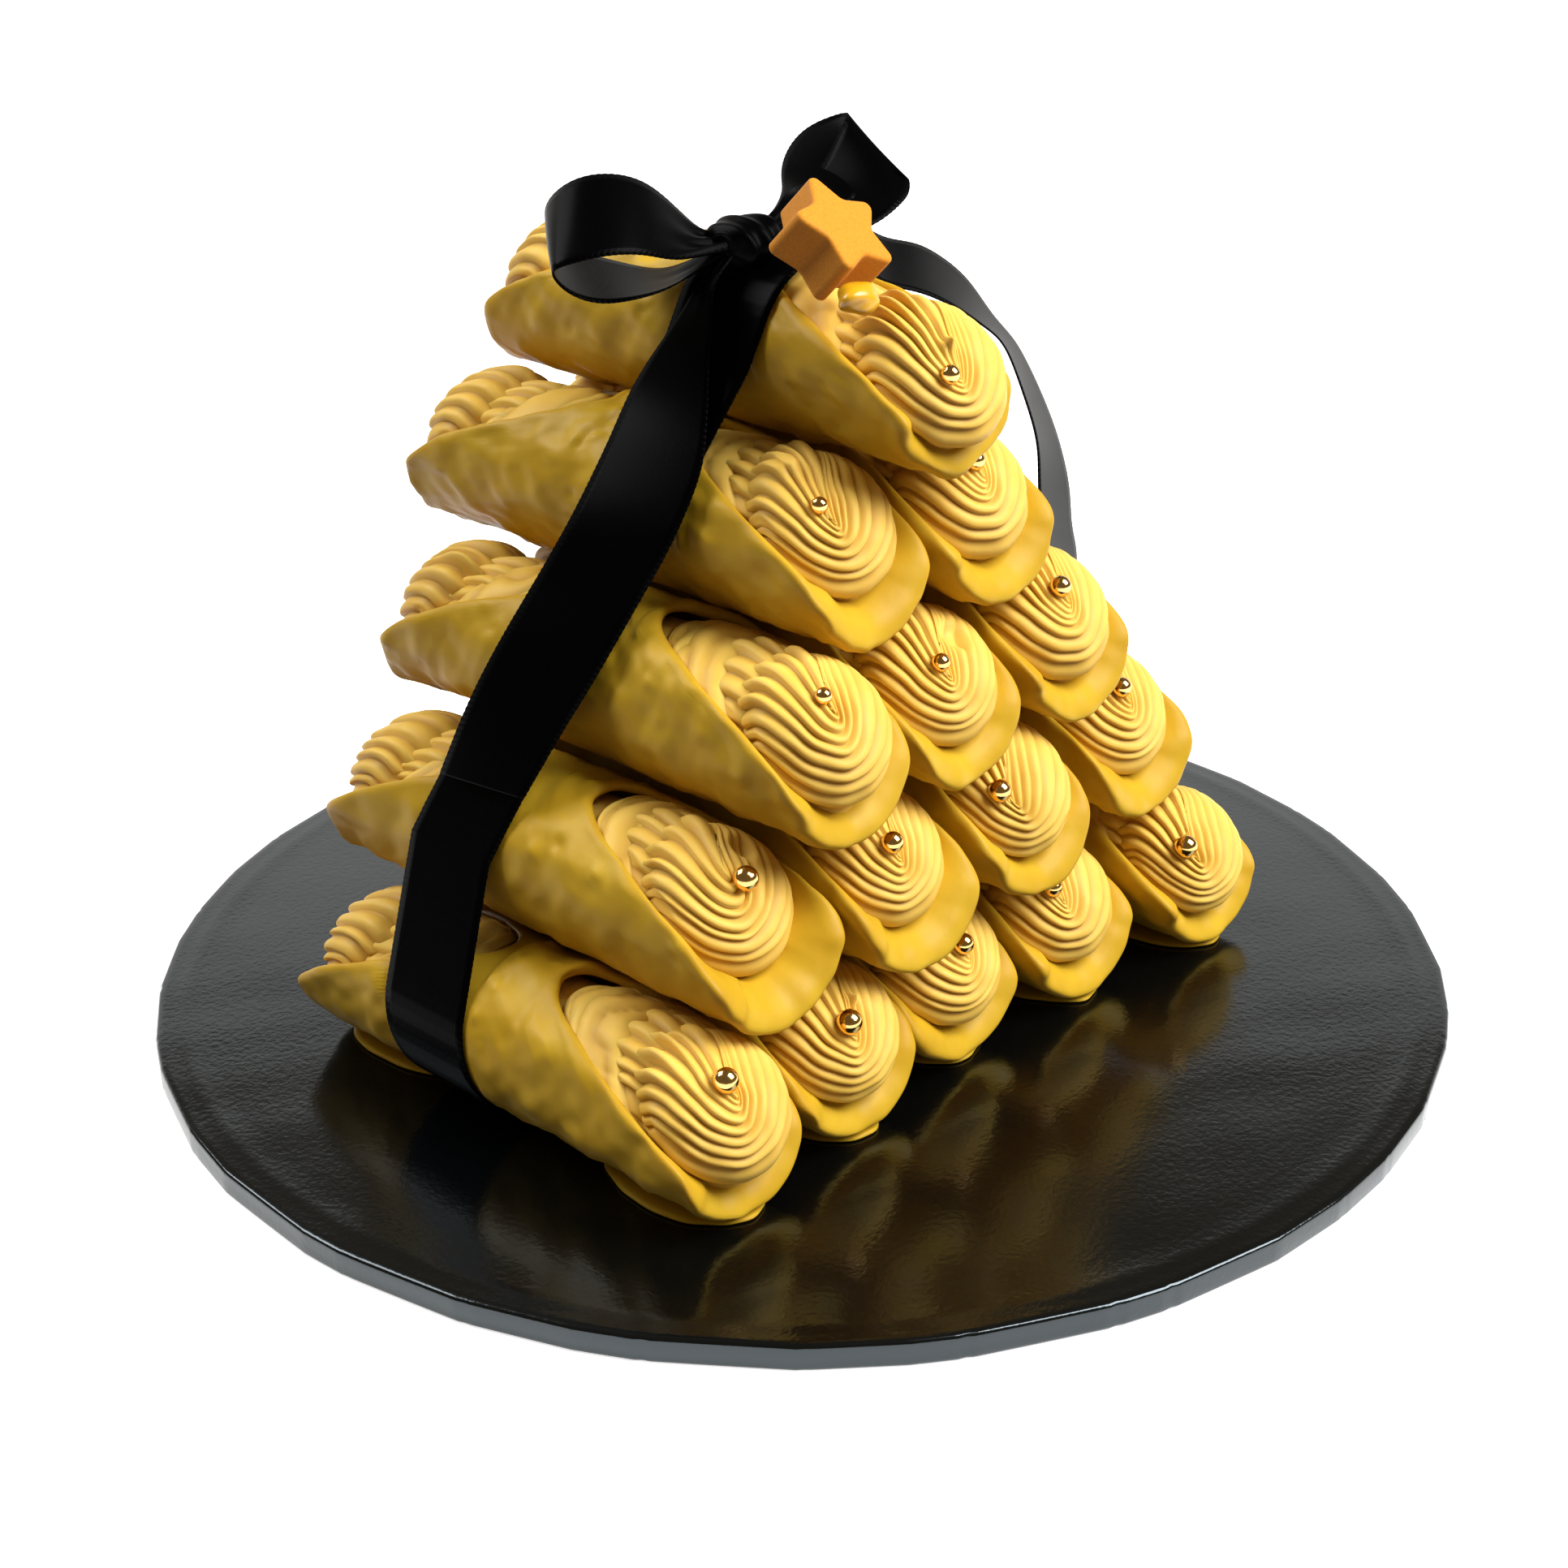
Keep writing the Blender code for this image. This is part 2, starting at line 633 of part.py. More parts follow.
def hull_of(spots):
    """Corners of the convex outline round flat points, counter-clockwise."""

    def half(ordered):
        chain = []
        for spot in ordered:
            while len(chain) > 1:
                (ax, az), (bx, bz) = chain[-2], chain[-1]
                turn = (bx - ax) * (spot[1] - az) - (bz - az) * (spot[0] - ax)
                if turn > STRAIGHT:
                    break
                chain.pop()
            chain.append(spot)
        return chain[:-1]

    ordered = sorted(spots)
    return half(ordered) + half(ordered[::-1])


def band_y(x, z, middle_x):
    """The band's distance forwards or back, from its place on the outline."""
    side = BAND_LEFT_Y if x < middle_x else BAND_RIGHT_Y
    if z > BAND_WIDEST_Z:
        top = TUBES[-1][2]
        share = min(1.0, (z - BAND_WIDEST_Z) / (top - BAND_WIDEST_Z))
        return side + (BAND_TOP_Y - side) * share
    share = min(1.0, (BAND_WIDEST_Z - z) / BAND_WIDEST_Z)
    return side + (BAND_BOTTOM_Y - side) * share


def band_stations():
    """The closed outline round the stacked tubes, a little outside them."""
    spots = []
    for name, x, z, _, _ in TUBES:
        low = name.startswith("B")
        tall = (LOW_TUBE_HALF_HEIGHT if low else TUBE_HALF_HEIGHT) + BAND_OFFSET
        wide = TUBE_HALF_WIDTH + BAND_OFFSET
        wide /= math.cos(math.pi / BAND_SAMPLES)
        high = tall / math.cos(math.pi / BAND_SAMPLES)
        for step in range(BAND_SAMPLES):
            angle = 2 * math.pi * step / BAND_SAMPLES
            reach = tall if abs(math.cos(angle) + 1) < STRAIGHT and low else high
            spot = (x + wide * math.sin(angle), z + reach * math.cos(angle))
            if low:
                spot = (spot[0], max(spot[1], z - tall))
            spots.append(spot)
    outline = hull_of(spots)
    middle_x = TUBES[-1][1]
    stations = []
    for x, z in outline:
        centre = (x, band_y(x, z, middle_x), z)
        stations.append((centre, (0.0, RIBBON_WIDTH, 0.0)))
    return stations


def build():
    clear_scene()
    scene = bpy.context.scene
    solids = bpy.data.collections.new("cannoli_tower")
    helpers = bpy.data.collections.new("helpers")
    helpers.hide_render = True
    scene.collection.children.link(solids)
    scene.collection.children.link(helpers)

    foil = material("foil_board", (0.010, 0.012, 0.016), 0.12)
    crust = material("coated_shell", (0.68, 0.38, 0.10), 0.45)
    cream = material("caramel_cream", (0.62, 0.36, 0.17), 0.5)
    icing = material("orange_star", (0.90, 0.45, 0.07), 0.5)
    dab = material("yellow_icing", (0.85, 0.62, 0.12), 0.45)
    satin = material("black_satin", (0.012, 0.012, 0.014), 0.35)

    board(solids, foil)
    for row in TUBES:
        name, x, z, front, length = row
        low = name.startswith("B")
        half_height = LOW_TUBE_HALF_HEIGHT if low else TUBE_HALF_HEIGHT
        shell = tube("shell_" + name, x, z, front, length, half_height, solids, crust)
        if low:
            inset = FOOT_HALF_LENGTH - FOOT_PROUD
            for end, y in (("front", front + inset), ("back", front + length - inset)):
                join_to(shell, foot(f"foot_{name}_{end}", x, y), helpers)
        filling("filling_" + name, row, half_height, solids, helpers, cream)
    star(solids, icing)
    blob("star_dab", DAB_CENTRE, DAB_SIZE, DAB_SIDES, solids, dab)
    strip("ribbon_band", band_stations(), True, solids, satin)
    blob("bow_knot", KNOT_CENTRE, KNOT_SIZE, KNOT_SIDES, solids, satin)
    strip("bow_loop_left", in_metres(LEFT_LOOP), False, solids, satin)
    strip("bow_loop_right", in_metres(RIGHT_LOOP), False, solids, satin)
    strip("ribbon_tail_left", in_metres(LEFT_TAIL), False, solids, satin)
    strip("ribbon_tail_right", in_metres(RIGHT_TAIL), False, solids, satin)


build()
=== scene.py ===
# %% [markdown]
# # Cannoli tower
#
# Fifteen filled cannoli are stacked five, four, three, two and one on a round board, tied with
# a satin ribbon and topped with a star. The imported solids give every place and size. This
# lesson dresses them: each food piece is a surface worked out with numpy, laid where its solid
# is, and each finish is a small node tree scaled in real millimetres.

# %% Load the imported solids
import math

import bpy
import numpy as np
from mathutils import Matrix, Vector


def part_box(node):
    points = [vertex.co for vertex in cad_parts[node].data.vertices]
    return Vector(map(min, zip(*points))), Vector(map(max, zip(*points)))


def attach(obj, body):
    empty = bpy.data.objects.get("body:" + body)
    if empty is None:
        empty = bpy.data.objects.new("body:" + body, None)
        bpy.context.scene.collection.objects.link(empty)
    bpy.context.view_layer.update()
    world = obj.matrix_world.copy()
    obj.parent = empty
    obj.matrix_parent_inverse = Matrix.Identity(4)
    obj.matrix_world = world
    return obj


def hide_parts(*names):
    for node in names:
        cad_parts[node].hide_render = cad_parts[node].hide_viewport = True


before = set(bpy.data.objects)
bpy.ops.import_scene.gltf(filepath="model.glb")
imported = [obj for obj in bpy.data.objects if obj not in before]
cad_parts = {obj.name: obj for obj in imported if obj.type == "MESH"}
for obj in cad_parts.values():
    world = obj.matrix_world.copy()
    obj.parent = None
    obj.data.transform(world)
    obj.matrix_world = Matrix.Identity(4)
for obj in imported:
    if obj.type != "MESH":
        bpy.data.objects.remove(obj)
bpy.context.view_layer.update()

MM = 0.001

# %% [markdown]
# ## Camera, light and floor
#
# The photo looks down on the front left corner with a normal lens. Its pearls mirror two soft
# boxes, a large one in front on the right and a smaller one behind on the left, so the same
# two lights are set up here over a white sweep. A picture of a studio round the scene would
# light it too, but two lamps can be moved until the shaded sides match.

# %% Camera
IMAGE_SIDE_PX = 1932
FOCAL_PX = 3160
SENSOR_MM = 36.0
CAMERA_AZIMUTH = math.radians(-46.38)
CAMERA_ELEVATION = math.radians(25.55)
CAMERA_ROLL = math.radians(-0.68)
CAMERA_DISTANCE = 599.9 * MM
AIM_RIGHT = -3.53 * MM
AIM_HEIGHT = 50.35 * MM

right = np.array([math.cos(CAMERA_AZIMUTH), math.sin(CAMERA_AZIMUTH), 0.0])
back = np.array([
    math.sin(CAMERA_AZIMUTH) * math.cos(CAMERA_ELEVATION),
    -math.cos(CAMERA_AZIMUTH) * math.cos(CAMERA_ELEVATION),
    math.sin(CAMERA_ELEVATION),
])
up = np.cross(back, right)
aim = right * AIM_RIGHT + np.array([0.0, 0.0, AIM_HEIGHT])
rolled_right = right * math.cos(CAMERA_ROLL) + up * math.sin(CAMERA_ROLL)
rolled_up = up * math.cos(CAMERA_ROLL) - right * math.sin(CAMERA_ROLL)

camera = bpy.data.objects.new("camera", bpy.data.cameras.new("camera"))
bpy.context.scene.collection.objects.link(camera)
camera.data.sensor_width = SENSOR_MM
camera.data.lens = FOCAL_PX / IMAGE_SIDE_PX * SENSOR_MM
turned = np.eye(4)
turned[:3, 0], turned[:3, 1], turned[:3, 2] = rolled_right, rolled_up, back
turned[:3, 3] = aim + back * CAMERA_DISTANCE
camera.matrix_world = turned.T.tolist()
bpy.context.scene.camera = camera
bpy.context.scene.view_settings.view_transform = "Standard"
print("lens:", round(camera.data.lens, 2), "mm, camera at", turned[:3, 3].round(3))


# %% [markdown]
# ## Helpers for the finishes
#
# A colour picker gives sRGB values, but a shader works with light, so each colour is written
# as its hex value and turned to linear. A node tree made by hand can't be read in a script, so
# one function adds a node with its settings and links. Two patterns come back in nearly every
# finish here, fine grain and soft clouds of two colours, and each is a function of its size.

# %% Colours, nodes and two patterns
def linear(hex_colour):
    """Turns an sRGB hex colour to the linear values that shaders take."""
    share = np.array([int(hex_colour[i:i + 2], 16) for i in (1, 3, 5)]) / 255
    value = np.where(share <= 0.04045, share / 12.92, ((share + 0.055) / 1.055) ** 2.4)
    return (*value.tolist(), 1.0)


def add_node(tree, kind, settings=None, links=None):
    """Adds one node, fills its properties or sockets, and joins its inputs to outputs."""
    node = tree.nodes.new(kind)
    for name, value in (settings or {}).items():
        if isinstance(name, str) and hasattr(node, name):
            setattr(node, name, value)
        else:
            node.inputs[name].default_value = value
    for name, socket in (links or {}).items():
        tree.links.new(socket, node.inputs[name])
    return node


def new_material(name, settings):
    """A material with its shader's constants set; returns it with its tree and shader."""
    made = bpy.data.materials.new(name)
    made.use_nodes = True
    shader = made.node_tree.nodes["Principled BSDF"]
    for socket, value in settings.items():
        shader.inputs[socket].default_value = value
    return made, made.node_tree, shader


def roughen(tree, shader, size_mm, detail, strength, depth_mm):
    """Bends the shader's normal by noise: grains of one size, raised by a depth."""
    where = add_node(tree, "ShaderNodeTexCoord")
    grain = add_node(tree, "ShaderNodeTexNoise", {"Scale": 1 / (size_mm * MM), "Detail": detail},
                     {"Vector": where.outputs["Object"]})
    raised = add_node(tree, "ShaderNodeBump", {"Strength": strength, "Distance": depth_mm * MM},
                      {"Height": grain.outputs[0]})
    tree.links.new(raised.outputs[0], shader.inputs["Normal"])


def clouds(tree, size_mm, colours, places):
    """Clouds of two colours: noise of one size, with a colour at each of two places in it."""
    where = add_node(tree, "ShaderNodeTexCoord")
    noise = add_node(tree, "ShaderNodeTexNoise", {"Scale": 1 / (size_mm * MM), "Detail": 3.0},
                     {"Vector": where.outputs["Object"]})
    tone = add_node(tree, "ShaderNodeValToRGB", links={0: noise.outputs[0]})
    for element, colour, place in zip(tone.color_ramp.elements, colours, places):
        element.position = place
        element.color = linear(colour)
    return tone.outputs[0]


print("mustard in linear values:", [round(value, 3) for value in linear("#c99a2e")])

# %% [markdown]
# ## Soft boxes and sweep
#
# A soft box is a lamp behind a sheet of cloth, which is just what an area light is. Its size
# sets how soft the shade is, and its watts how bright. A sweep is a sheet that lies flat and
# then curves up behind the tower, so the glossy board mirrors white on both sides. A plain
# plane would leave the board dark at this low angle.

# %% Light from two soft boxes
SOFT_BOXES = (
    # name, direction from the tower, distance in metres, width, height, watts
    ("soft_box_front_right", (0.30, -0.63, 0.72), 1.30, 0.75, 0.95, 32.0),
    ("soft_box_back_left", (-0.31, 0.63, 0.71), 1.20, 0.70, 0.60, 11.0),
)
LIGHT_AIM = np.array([0.0, 0.0, 0.09])
for name, direction, distance, width, height, watts in SOFT_BOXES:
    towards = np.array(direction) / np.linalg.norm(direction)
    box = bpy.data.lights.new(name, "AREA")
    box.shape, box.size, box.size_y, box.energy = "RECTANGLE", width, height, watts
    lamp = bpy.data.objects.new(name, box)
    bpy.context.scene.collection.objects.link(lamp)
    side = np.cross([0.0, 0.0, 1.0], towards)
    side /= np.linalg.norm(side)
    placed = np.eye(4)
    placed[:3, 0], placed[:3, 1], placed[:3, 2] = side, np.cross(towards, side), towards
    placed[:3, 3] = LIGHT_AIM + towards * distance
    lamp.matrix_world = placed.T.tolist()
    print(name, "at", placed[:3, 3].round(2))

# %% White sweep and dim room
world = bpy.data.worlds.new("studio")
bpy.context.scene.world = world
world.use_nodes = True
room = world.node_tree.nodes["Background"]
room.inputs["Color"].default_value = linear("#e4cfae")
room.inputs["Strength"].default_value = 0.18

SWEEP_HALF_WIDTH = 4.0
SWEEP_FRONT = 3.0
SWEEP_FLAT_BACK = 1.9
SWEEP_CURVE = 0.5
SWEEP_CURVE_POINTS = 17
SWEEP_HEIGHT = 1.5
ahead = -np.array([back[0], back[1], 0.0]) / np.hypot(back[0], back[1])
bend = np.linspace(0, math.pi / 2, SWEEP_CURVE_POINTS)
run = np.concatenate([
    [-SWEEP_FRONT],
    SWEEP_FLAT_BACK + SWEEP_CURVE * np.sin(bend),
    [SWEEP_FLAT_BACK + SWEEP_CURVE],
])
rise = np.concatenate([[0.0], SWEEP_CURVE * (1 - np.cos(bend)), [SWEEP_HEIGHT]])
sweep = np.stack([
    run[:, None] * ahead + rise[:, None] * np.array([0.0, 0.0, 1.0]) + side * right
    for side in (-SWEEP_HALF_WIDTH, SWEEP_HALF_WIDTH)
])
floor_mesh = bpy.data.meshes.new("floor")
steps = len(run)
sweep_faces = [(i + steps, i + steps + 1, i + 1, i) for i in range(steps - 1)]
floor_mesh.from_pydata(sweep.reshape(-1, 3).tolist(), [], sweep_faces)
floor = bpy.data.objects.new("floor", floor_mesh)
bpy.context.scene.collection.objects.link(floor)
white, _, _ = new_material("white_acrylic_sweep", {
    "Base Color": linear("#f4f4f4"),
    "Roughness": 0.7,
    "Emission Color": linear("#ffffff"),
    "Emission Strength": 0.75,
})
floor_mesh.materials.append(white)
# The tower's own shade stays dark: the sweep shows and is mirrored, and lights nothing
floor.visible_diffuse = False
print("sweep:", 2 * SWEEP_HALF_WIDTH, "m wide")

# %% [markdown]
# ## Surfaces from numpy
#
# Every new piece is a grid of points, a function of two parameters, and the helpers below turn
# grids into meshes. Sculpting or modifiers would also do, but a formula keeps each size in one
# named value, and one function makes all fifteen tubes. Uneven food also needs a smooth random
# field. A sum of a few plane waves with seeded directions gives one without a loop over
# points, and the same one at every run.

# %% Faces of grids and islands
def quads_of(number):
    """Four-sided faces between the neighbours in a table of point numbers."""
    corners = [number[:-1, :-1], number[:-1, 1:], number[1:, 1:], number[1:, :-1]]
    return np.stack(corners, axis=-1).reshape(-1, 4)


def ring_faces(grid, closed=False, flip=False):
    """Faces of a grid whose rows are rings: joined end to end if closed, or else capped."""
    rows, columns = grid.shape[:2]
    number = np.arange(rows * columns).reshape(rows, columns)
    wrapped = np.hstack([number, number[:, :1]])
    if closed:
        faces = quads_of(np.vstack([wrapped, wrapped[:1]])).tolist()
    else:
        faces = quads_of(wrapped).tolist() + [number[0, ::-1].tolist(), number[-1].tolist()]
    return [face[::-1] for face in faces] if flip else faces


def island(grid, values=0.0, closed=False, flip=False):
    """One closed surface: its points, its faces, and a value at each point."""
    points = grid.reshape(-1, 3)
    return points, ring_faces(grid, closed, flip), np.zeros(len(points)) + values


def join_islands(islands):
    """Islands in one mesh: points, faces, values, and the number of each face's island."""
    faces, owners, first = [], [], 0
    for number, (places, own_faces, _) in enumerate(islands):
        faces += [[corner + first for corner in face] for face in own_faces]
        owners += [number] * len(own_faces)
        first += len(places)
    points = np.vstack([places for places, _, _ in islands])
    values = np.concatenate([shade for _, _, shade in islands])
    return points, faces, values, np.array(owners)


cube_rings = np.zeros((2, 4, 3))
print("two capped rings of four points have", len(ring_faces(cube_rings)), "faces")


# %% Meshes
def mesh_piece(name, points, faces, materials, attributes=None, slots=None, uv=None):
    """One smooth mesh object on the root body, with float attributes for its materials."""
    mesh = bpy.data.meshes.new(name)
    mesh.from_pydata(np.asarray(points).reshape(-1, 3).tolist(), [], faces)
    mesh.polygons.foreach_set("use_smooth", np.ones(len(mesh.polygons), bool))
    for key, values in (attributes or {}).items():
        layer = mesh.attributes.new(key, "FLOAT", "POINT")
        layer.data.foreach_set("value", np.asarray(values, np.float32).ravel())
    for material in materials:
        mesh.materials.append(material)
    if slots is not None:
        mesh.polygons.foreach_set("material_index", np.asarray(slots, np.int32))
    if uv is not None:
        corner = np.zeros(len(mesh.loops), np.int32)
        mesh.loops.foreach_get("vertex_index", corner)
        layer = mesh.uv_layers.new(name="cloth")
        layer.uv.foreach_set("vector", np.asarray(uv, np.float32).reshape(-1, 2)[corner].ravel())
    mesh.update()
    piece = bpy.data.objects.new(name, mesh)
    bpy.context.scene.collection.objects.link(piece)
    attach(piece, "root")
    return piece


print("solids to dress:", len(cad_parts))


# %% Smooth random fields, steps and normals
WAVE_COUNT = 14


def waves(places, wavelength, seed):
    """A smooth random field, about -1 to 1: cosines along seeded directions, summed."""
    draw = np.random.default_rng(seed)
    heading = draw.normal(size=(WAVE_COUNT, 3))
    heading /= np.linalg.norm(heading, axis=1, keepdims=True)
    pitch = 2 * math.pi / (wavelength * draw.uniform(0.7, 1.5, WAVE_COUNT))
    start = draw.uniform(0, 2 * math.pi, WAVE_COUNT)
    phase = np.asarray(places) @ (heading * pitch[:, None]).T + start
    return np.cos(phase).sum(-1) / math.sqrt(WAVE_COUNT)


def lobes(angle, draw, sizes, least):
    """Uneven lobes round a turn: a few cosines, each of a random share of its size."""
    return sum(
        draw.uniform(least, 1.0) * size * np.cos(turns * angle + draw.uniform(0, 2 * math.pi))
        for turns, size in sizes
    )


def smooth(value, low, high):
    """An eased step from 0 at low to 1 at high."""
    share = np.clip((value - low) / (high - low), 0.0, 1.0)
    return share * share * (3 - 2 * share)


def normals_of(grid):
    """Unit normals of a grid of points, from the cross product of its two slopes."""
    normal = np.cross(np.gradient(grid, axis=0), np.gradient(grid, axis=1))
    length = np.linalg.norm(normal, axis=-1, keepdims=True)
    return normal / np.maximum(length, 1e-12)


print("half way up an eased step:", float(smooth(0.5, 0.0, 1.0)))

# %% [markdown]
# ## Places of the fifteen tubes
#
# Each dressed tube has to lie where its solid lies. Typing in fifteen places would break at
# the next change, so each tube's axis, lips and height are read off its solid's box. The
# bottom row is pressed a little flatter, and its feet stand out past its lips.

# %% Read each tube off its solid
TUBE_NAMES = ("B1", "B2", "B3", "B4", "B5", "A1", "A2", "A3", "A4",
              "C1", "C2", "C3", "D1", "D2", "E1")
HALF_WIDTH = 19.0 * MM
HALF_HEIGHT = 18.8 * MM
LOW_HALF_HEIGHT = 18.0 * MM
FOOT_PROUD = 3.0 * MM


def place_of_tube(name):
    """Reads a tube's axis, lips and height off its solid's box."""
    low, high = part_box("shell_" + name)
    bottom = name[0] == "B"
    foot = FOOT_PROUD if bottom else 0.0
    tall = LOW_HALF_HEIGHT if bottom else HALF_HEIGHT
    return {
        "name": name,
        "bottom": bottom,
        "x": (low.x + high.x) / 2,
        "z": high.z - tall,
        "front": low.y + foot,
        "length": high.y - low.y - 2 * foot,
        "tall": tall,
        "seed": sum(map(ord, name)),
    }


TUBES = {name: place_of_tube(name) for name in TUBE_NAMES}
print("top tube axis:", round(TUBES["E1"]["x"], 4), round(TUBES["E1"]["z"], 4))

# %% [markdown]
# ## The board
#
# A cake board is card wrapped in embossed foil. The foil is glued over a round of card a few
# millimetres thick, and where it turns over the edge it gathers in small flat pleats, which
# leave the outline faintly many-sided. A cylinder with a bevel would give a plain disc. Here a
# profile is turned instead, so that the radius of its outer points can vary with the angle.

# %% Foil finish
# Black embossed foil: a glossy film over card. Its grain breaks a reflection up softly, and
# wide clouds of handling make it duller here and there.
GRAIN_MM = 1.3
HANDLING_MM = 100 / 3
foil, tree, shader = new_material("black_embossed_foil", {
    "Base Color": linear("#030405"),
    "Roughness": 0.15,
    "IOR": 1.65,
    "Specular Tint": linear("#dcecf4"),
})
where = add_node(tree, "ShaderNodeTexCoord")
blur = add_node(tree, "ShaderNodeTexNoise", {"Scale": 1 / (HANDLING_MM * MM)},
                {"Vector": where.outputs["Object"]})
spread = add_node(tree, "ShaderNodeMapRange", {3: 0.11, 4: 0.20}, {0: blur.outputs[0]})
tree.links.new(spread.outputs[0], shader.inputs["Roughness"])
roughen(tree, shader, GRAIN_MM, 2.0, 0.5, 0.09)
print("foil grain:", GRAIN_MM, "mm")

# %% Pleats of the board's edge
board_low, board_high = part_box("board")
BOARD_RADIUS = (board_high.x - board_low.x) / 2
BOARD_TOP = board_high.z
PLEATS = 44
PLEAT_UNEVEN = 0.3
PLEAT_FLATNESS = 0.9
# A crease's depth, and its reach round the edge in radians
CREASE_DEPTH = 0.35 * MM
CREASE_ANGLE = 0.006


def pulled_in(angle):
    """How far the edge lies in from the circle: chords between uneven pleats, and creases."""
    draw = np.random.default_rng(5)
    uneven = draw.uniform(-PLEAT_UNEVEN, PLEAT_UNEVEN, PLEATS)
    folds = np.sort((np.arange(PLEATS) + uneven) * 2 * math.pi / PLEATS)
    folds = np.concatenate([folds - 2 * math.pi, folds, folds + 2 * math.pi])
    after = np.searchsorted(folds, angle)
    start, end = folds[after - 1], folds[after]
    chord = 1 - np.cos((end - start) / 2) / np.cos(angle - (start + end) / 2)
    crease = np.exp(-((angle - start) / CREASE_ANGLE) ** 2)
    return BOARD_RADIUS * PLEAT_FLATNESS * chord + CREASE_DEPTH * crease


print("board:", PLEATS, "pleats round a radius of", round(BOARD_RADIUS, 4))

# %% Foil board
BOARD_SPOKES = 616
HUB_RADIUS = 0.6 * MM
FLAT_RADIUS = 144.0 * MM
RIM_RADIUS = 150.5 * MM
PLEATS_FROM, PLEATS_TO = 146.0 * MM, 152.0 * MM
UNDERSIDE_RADIUS = 80.0 * MM
EDGE_ROUND = 1.0 * MM
# The foil swells a little over the card's rounded rim, as a low ring just inside the edge
SWELL_RADIUS = 145.5 * MM
SWELL_WIDTH = 2.2 * MM
SWELL_HEIGHT = 0.12 * MM
RIPPLE_HEIGHT = 0.03 * MM
RIPPLE_LENGTH = 30.0 * MM

turn = np.linspace(0, 2 * math.pi, BOARD_SPOKES, endpoint=False)[None, :]
quarter = np.linspace(0, math.pi / 2, 6)
top_rows = np.concatenate([
    np.linspace(HUB_RADIUS, FLAT_RADIUS, 60),
    np.linspace(SWELL_RADIUS, RIM_RADIUS, 6),
])
profile_r = np.concatenate([
    top_rows,
    BOARD_RADIUS - EDGE_ROUND + EDGE_ROUND * np.sin(quarter[1:]),
    BOARD_RADIUS - EDGE_ROUND + EDGE_ROUND * np.cos(quarter),
    [UNDERSIDE_RADIUS, HUB_RADIUS],
])[:, None]
profile_z = np.concatenate([
    np.full(len(top_rows), BOARD_TOP),
    BOARD_TOP - EDGE_ROUND * (1 - np.cos(quarter[1:])),
    EDGE_ROUND * (1 - np.sin(quarter)),
    [0.0, 0.0],
])[:, None]
radius = profile_r - smooth(profile_r, PLEATS_FROM, PLEATS_TO) * pulled_in(turn)
board_grid = np.stack([
    radius * np.cos(turn),
    radius * np.sin(turn),
    profile_z + 0.0 * radius,
], axis=-1)
on_top = np.arange(len(profile_r))[:, None] < len(top_rows) + len(quarter) - 1
swell = SWELL_HEIGHT * np.exp(-((radius - SWELL_RADIUS) / SWELL_WIDTH) ** 2)
ripple = RIPPLE_HEIGHT * waves(board_grid, RIPPLE_LENGTH, 11) * smooth(radius, 0.0, 10.0 * MM)
board_grid[..., 2] += np.where(on_top, swell + ripple, 0.0)
faces = ring_faces(board_grid, flip=True)
board = mesh_piece("foil_board", board_grid, faces, [foil])
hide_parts("board")
print("board:", len(faces), "faces")

# %% [markdown]
# ## The shells
#
# A cannolo's shell is a disc of dough rolled round a tube and fried, so it is a tube whose two
# lips run straight under the filling and climb back to a notch on top. These were dipped in a
# mustard-yellow coating, which set in soft lumps, dripped at the lips and ran out as flat feet
# under the bottom row. A tube cut by a boolean and given a wall by Solidify would have sharp,
# even lips. So the wall is one closed grid: its rows go along the outside, round the back lip,
# along the inside and round the front lip, and its columns go round the tube.

# %% Coating finish
# Coloured white-chocolate coating: a fat-based glaze with a soft satin gloss. It looks more
# ochre where it lies thin, and browned pastry shows through along the lips.
COATING_CLOUD_MM, COATING_PATCH_MM, COATING_SKIN_MM = 16.0, 5.0, 1.4
coating, tree, shader = new_material("mustard_chocolate_coating", {
    "Roughness": 0.45,
    "IOR": 1.45,
    "Specular IOR Level": 0.20,
    "Subsurface Weight": 0.12,
    "Subsurface Radius": (1.0, 0.55, 0.15),
    "Subsurface Scale": 0.0016,
})
tone = clouds(tree, COATING_CLOUD_MM, ("#c2991e", "#cfa92b"), (0.30, 0.70))
where = add_node(tree, "ShaderNodeTexCoord")
browning = add_node(tree, "ShaderNodeAttribute", {"attribute_name": "browning"})
patch = add_node(tree, "ShaderNodeTexNoise", {"Scale": 1 / (COATING_PATCH_MM * MM), "Detail": 4.0},
                 {"Vector": where.outputs["Object"]})
patchy = add_node(tree, "ShaderNodeMath", {"operation": "MULTIPLY_ADD", 1: 1.6, 2: -0.35},
                  {0: patch.outputs[0]})
baked = add_node(tree, "ShaderNodeMath", {"operation": "MULTIPLY", "use_clamp": True},
                 {0: browning.outputs["Fac"], 1: patchy.outputs[0]})
crust = add_node(tree, "ShaderNodeMix", {"data_type": "RGBA", 7: linear("#a86a1c")},
                 {0: baked.outputs[0], 6: tone})
tree.links.new(crust.outputs[2], shader.inputs["Base Color"])
roughen(tree, shader, COATING_SKIN_MM, 3.0, 0.25, 0.12)
print("coating clouds:", COATING_CLOUD_MM, "mm, skin:", COATING_SKIN_MM, "mm")

# %% [markdown]
# ## Where the ribbon presses
#
# The ribbon is tied tightly, so it flattens the soft coating under it. Its path is therefore
# needed before the coating gets its lumps: on each side it runs straight from the top to its
# widest point and from there down and under the stack.

# %% Path of the band
BAND_TOP_Y, BAND_LEFT_Y, BAND_RIGHT_Y, BAND_BOTTOM_Y = -6.0 * MM, 17.0 * MM, 8.0 * MM, 2.0 * MM
BAND_WIDEST_Z = 62.0 * MM


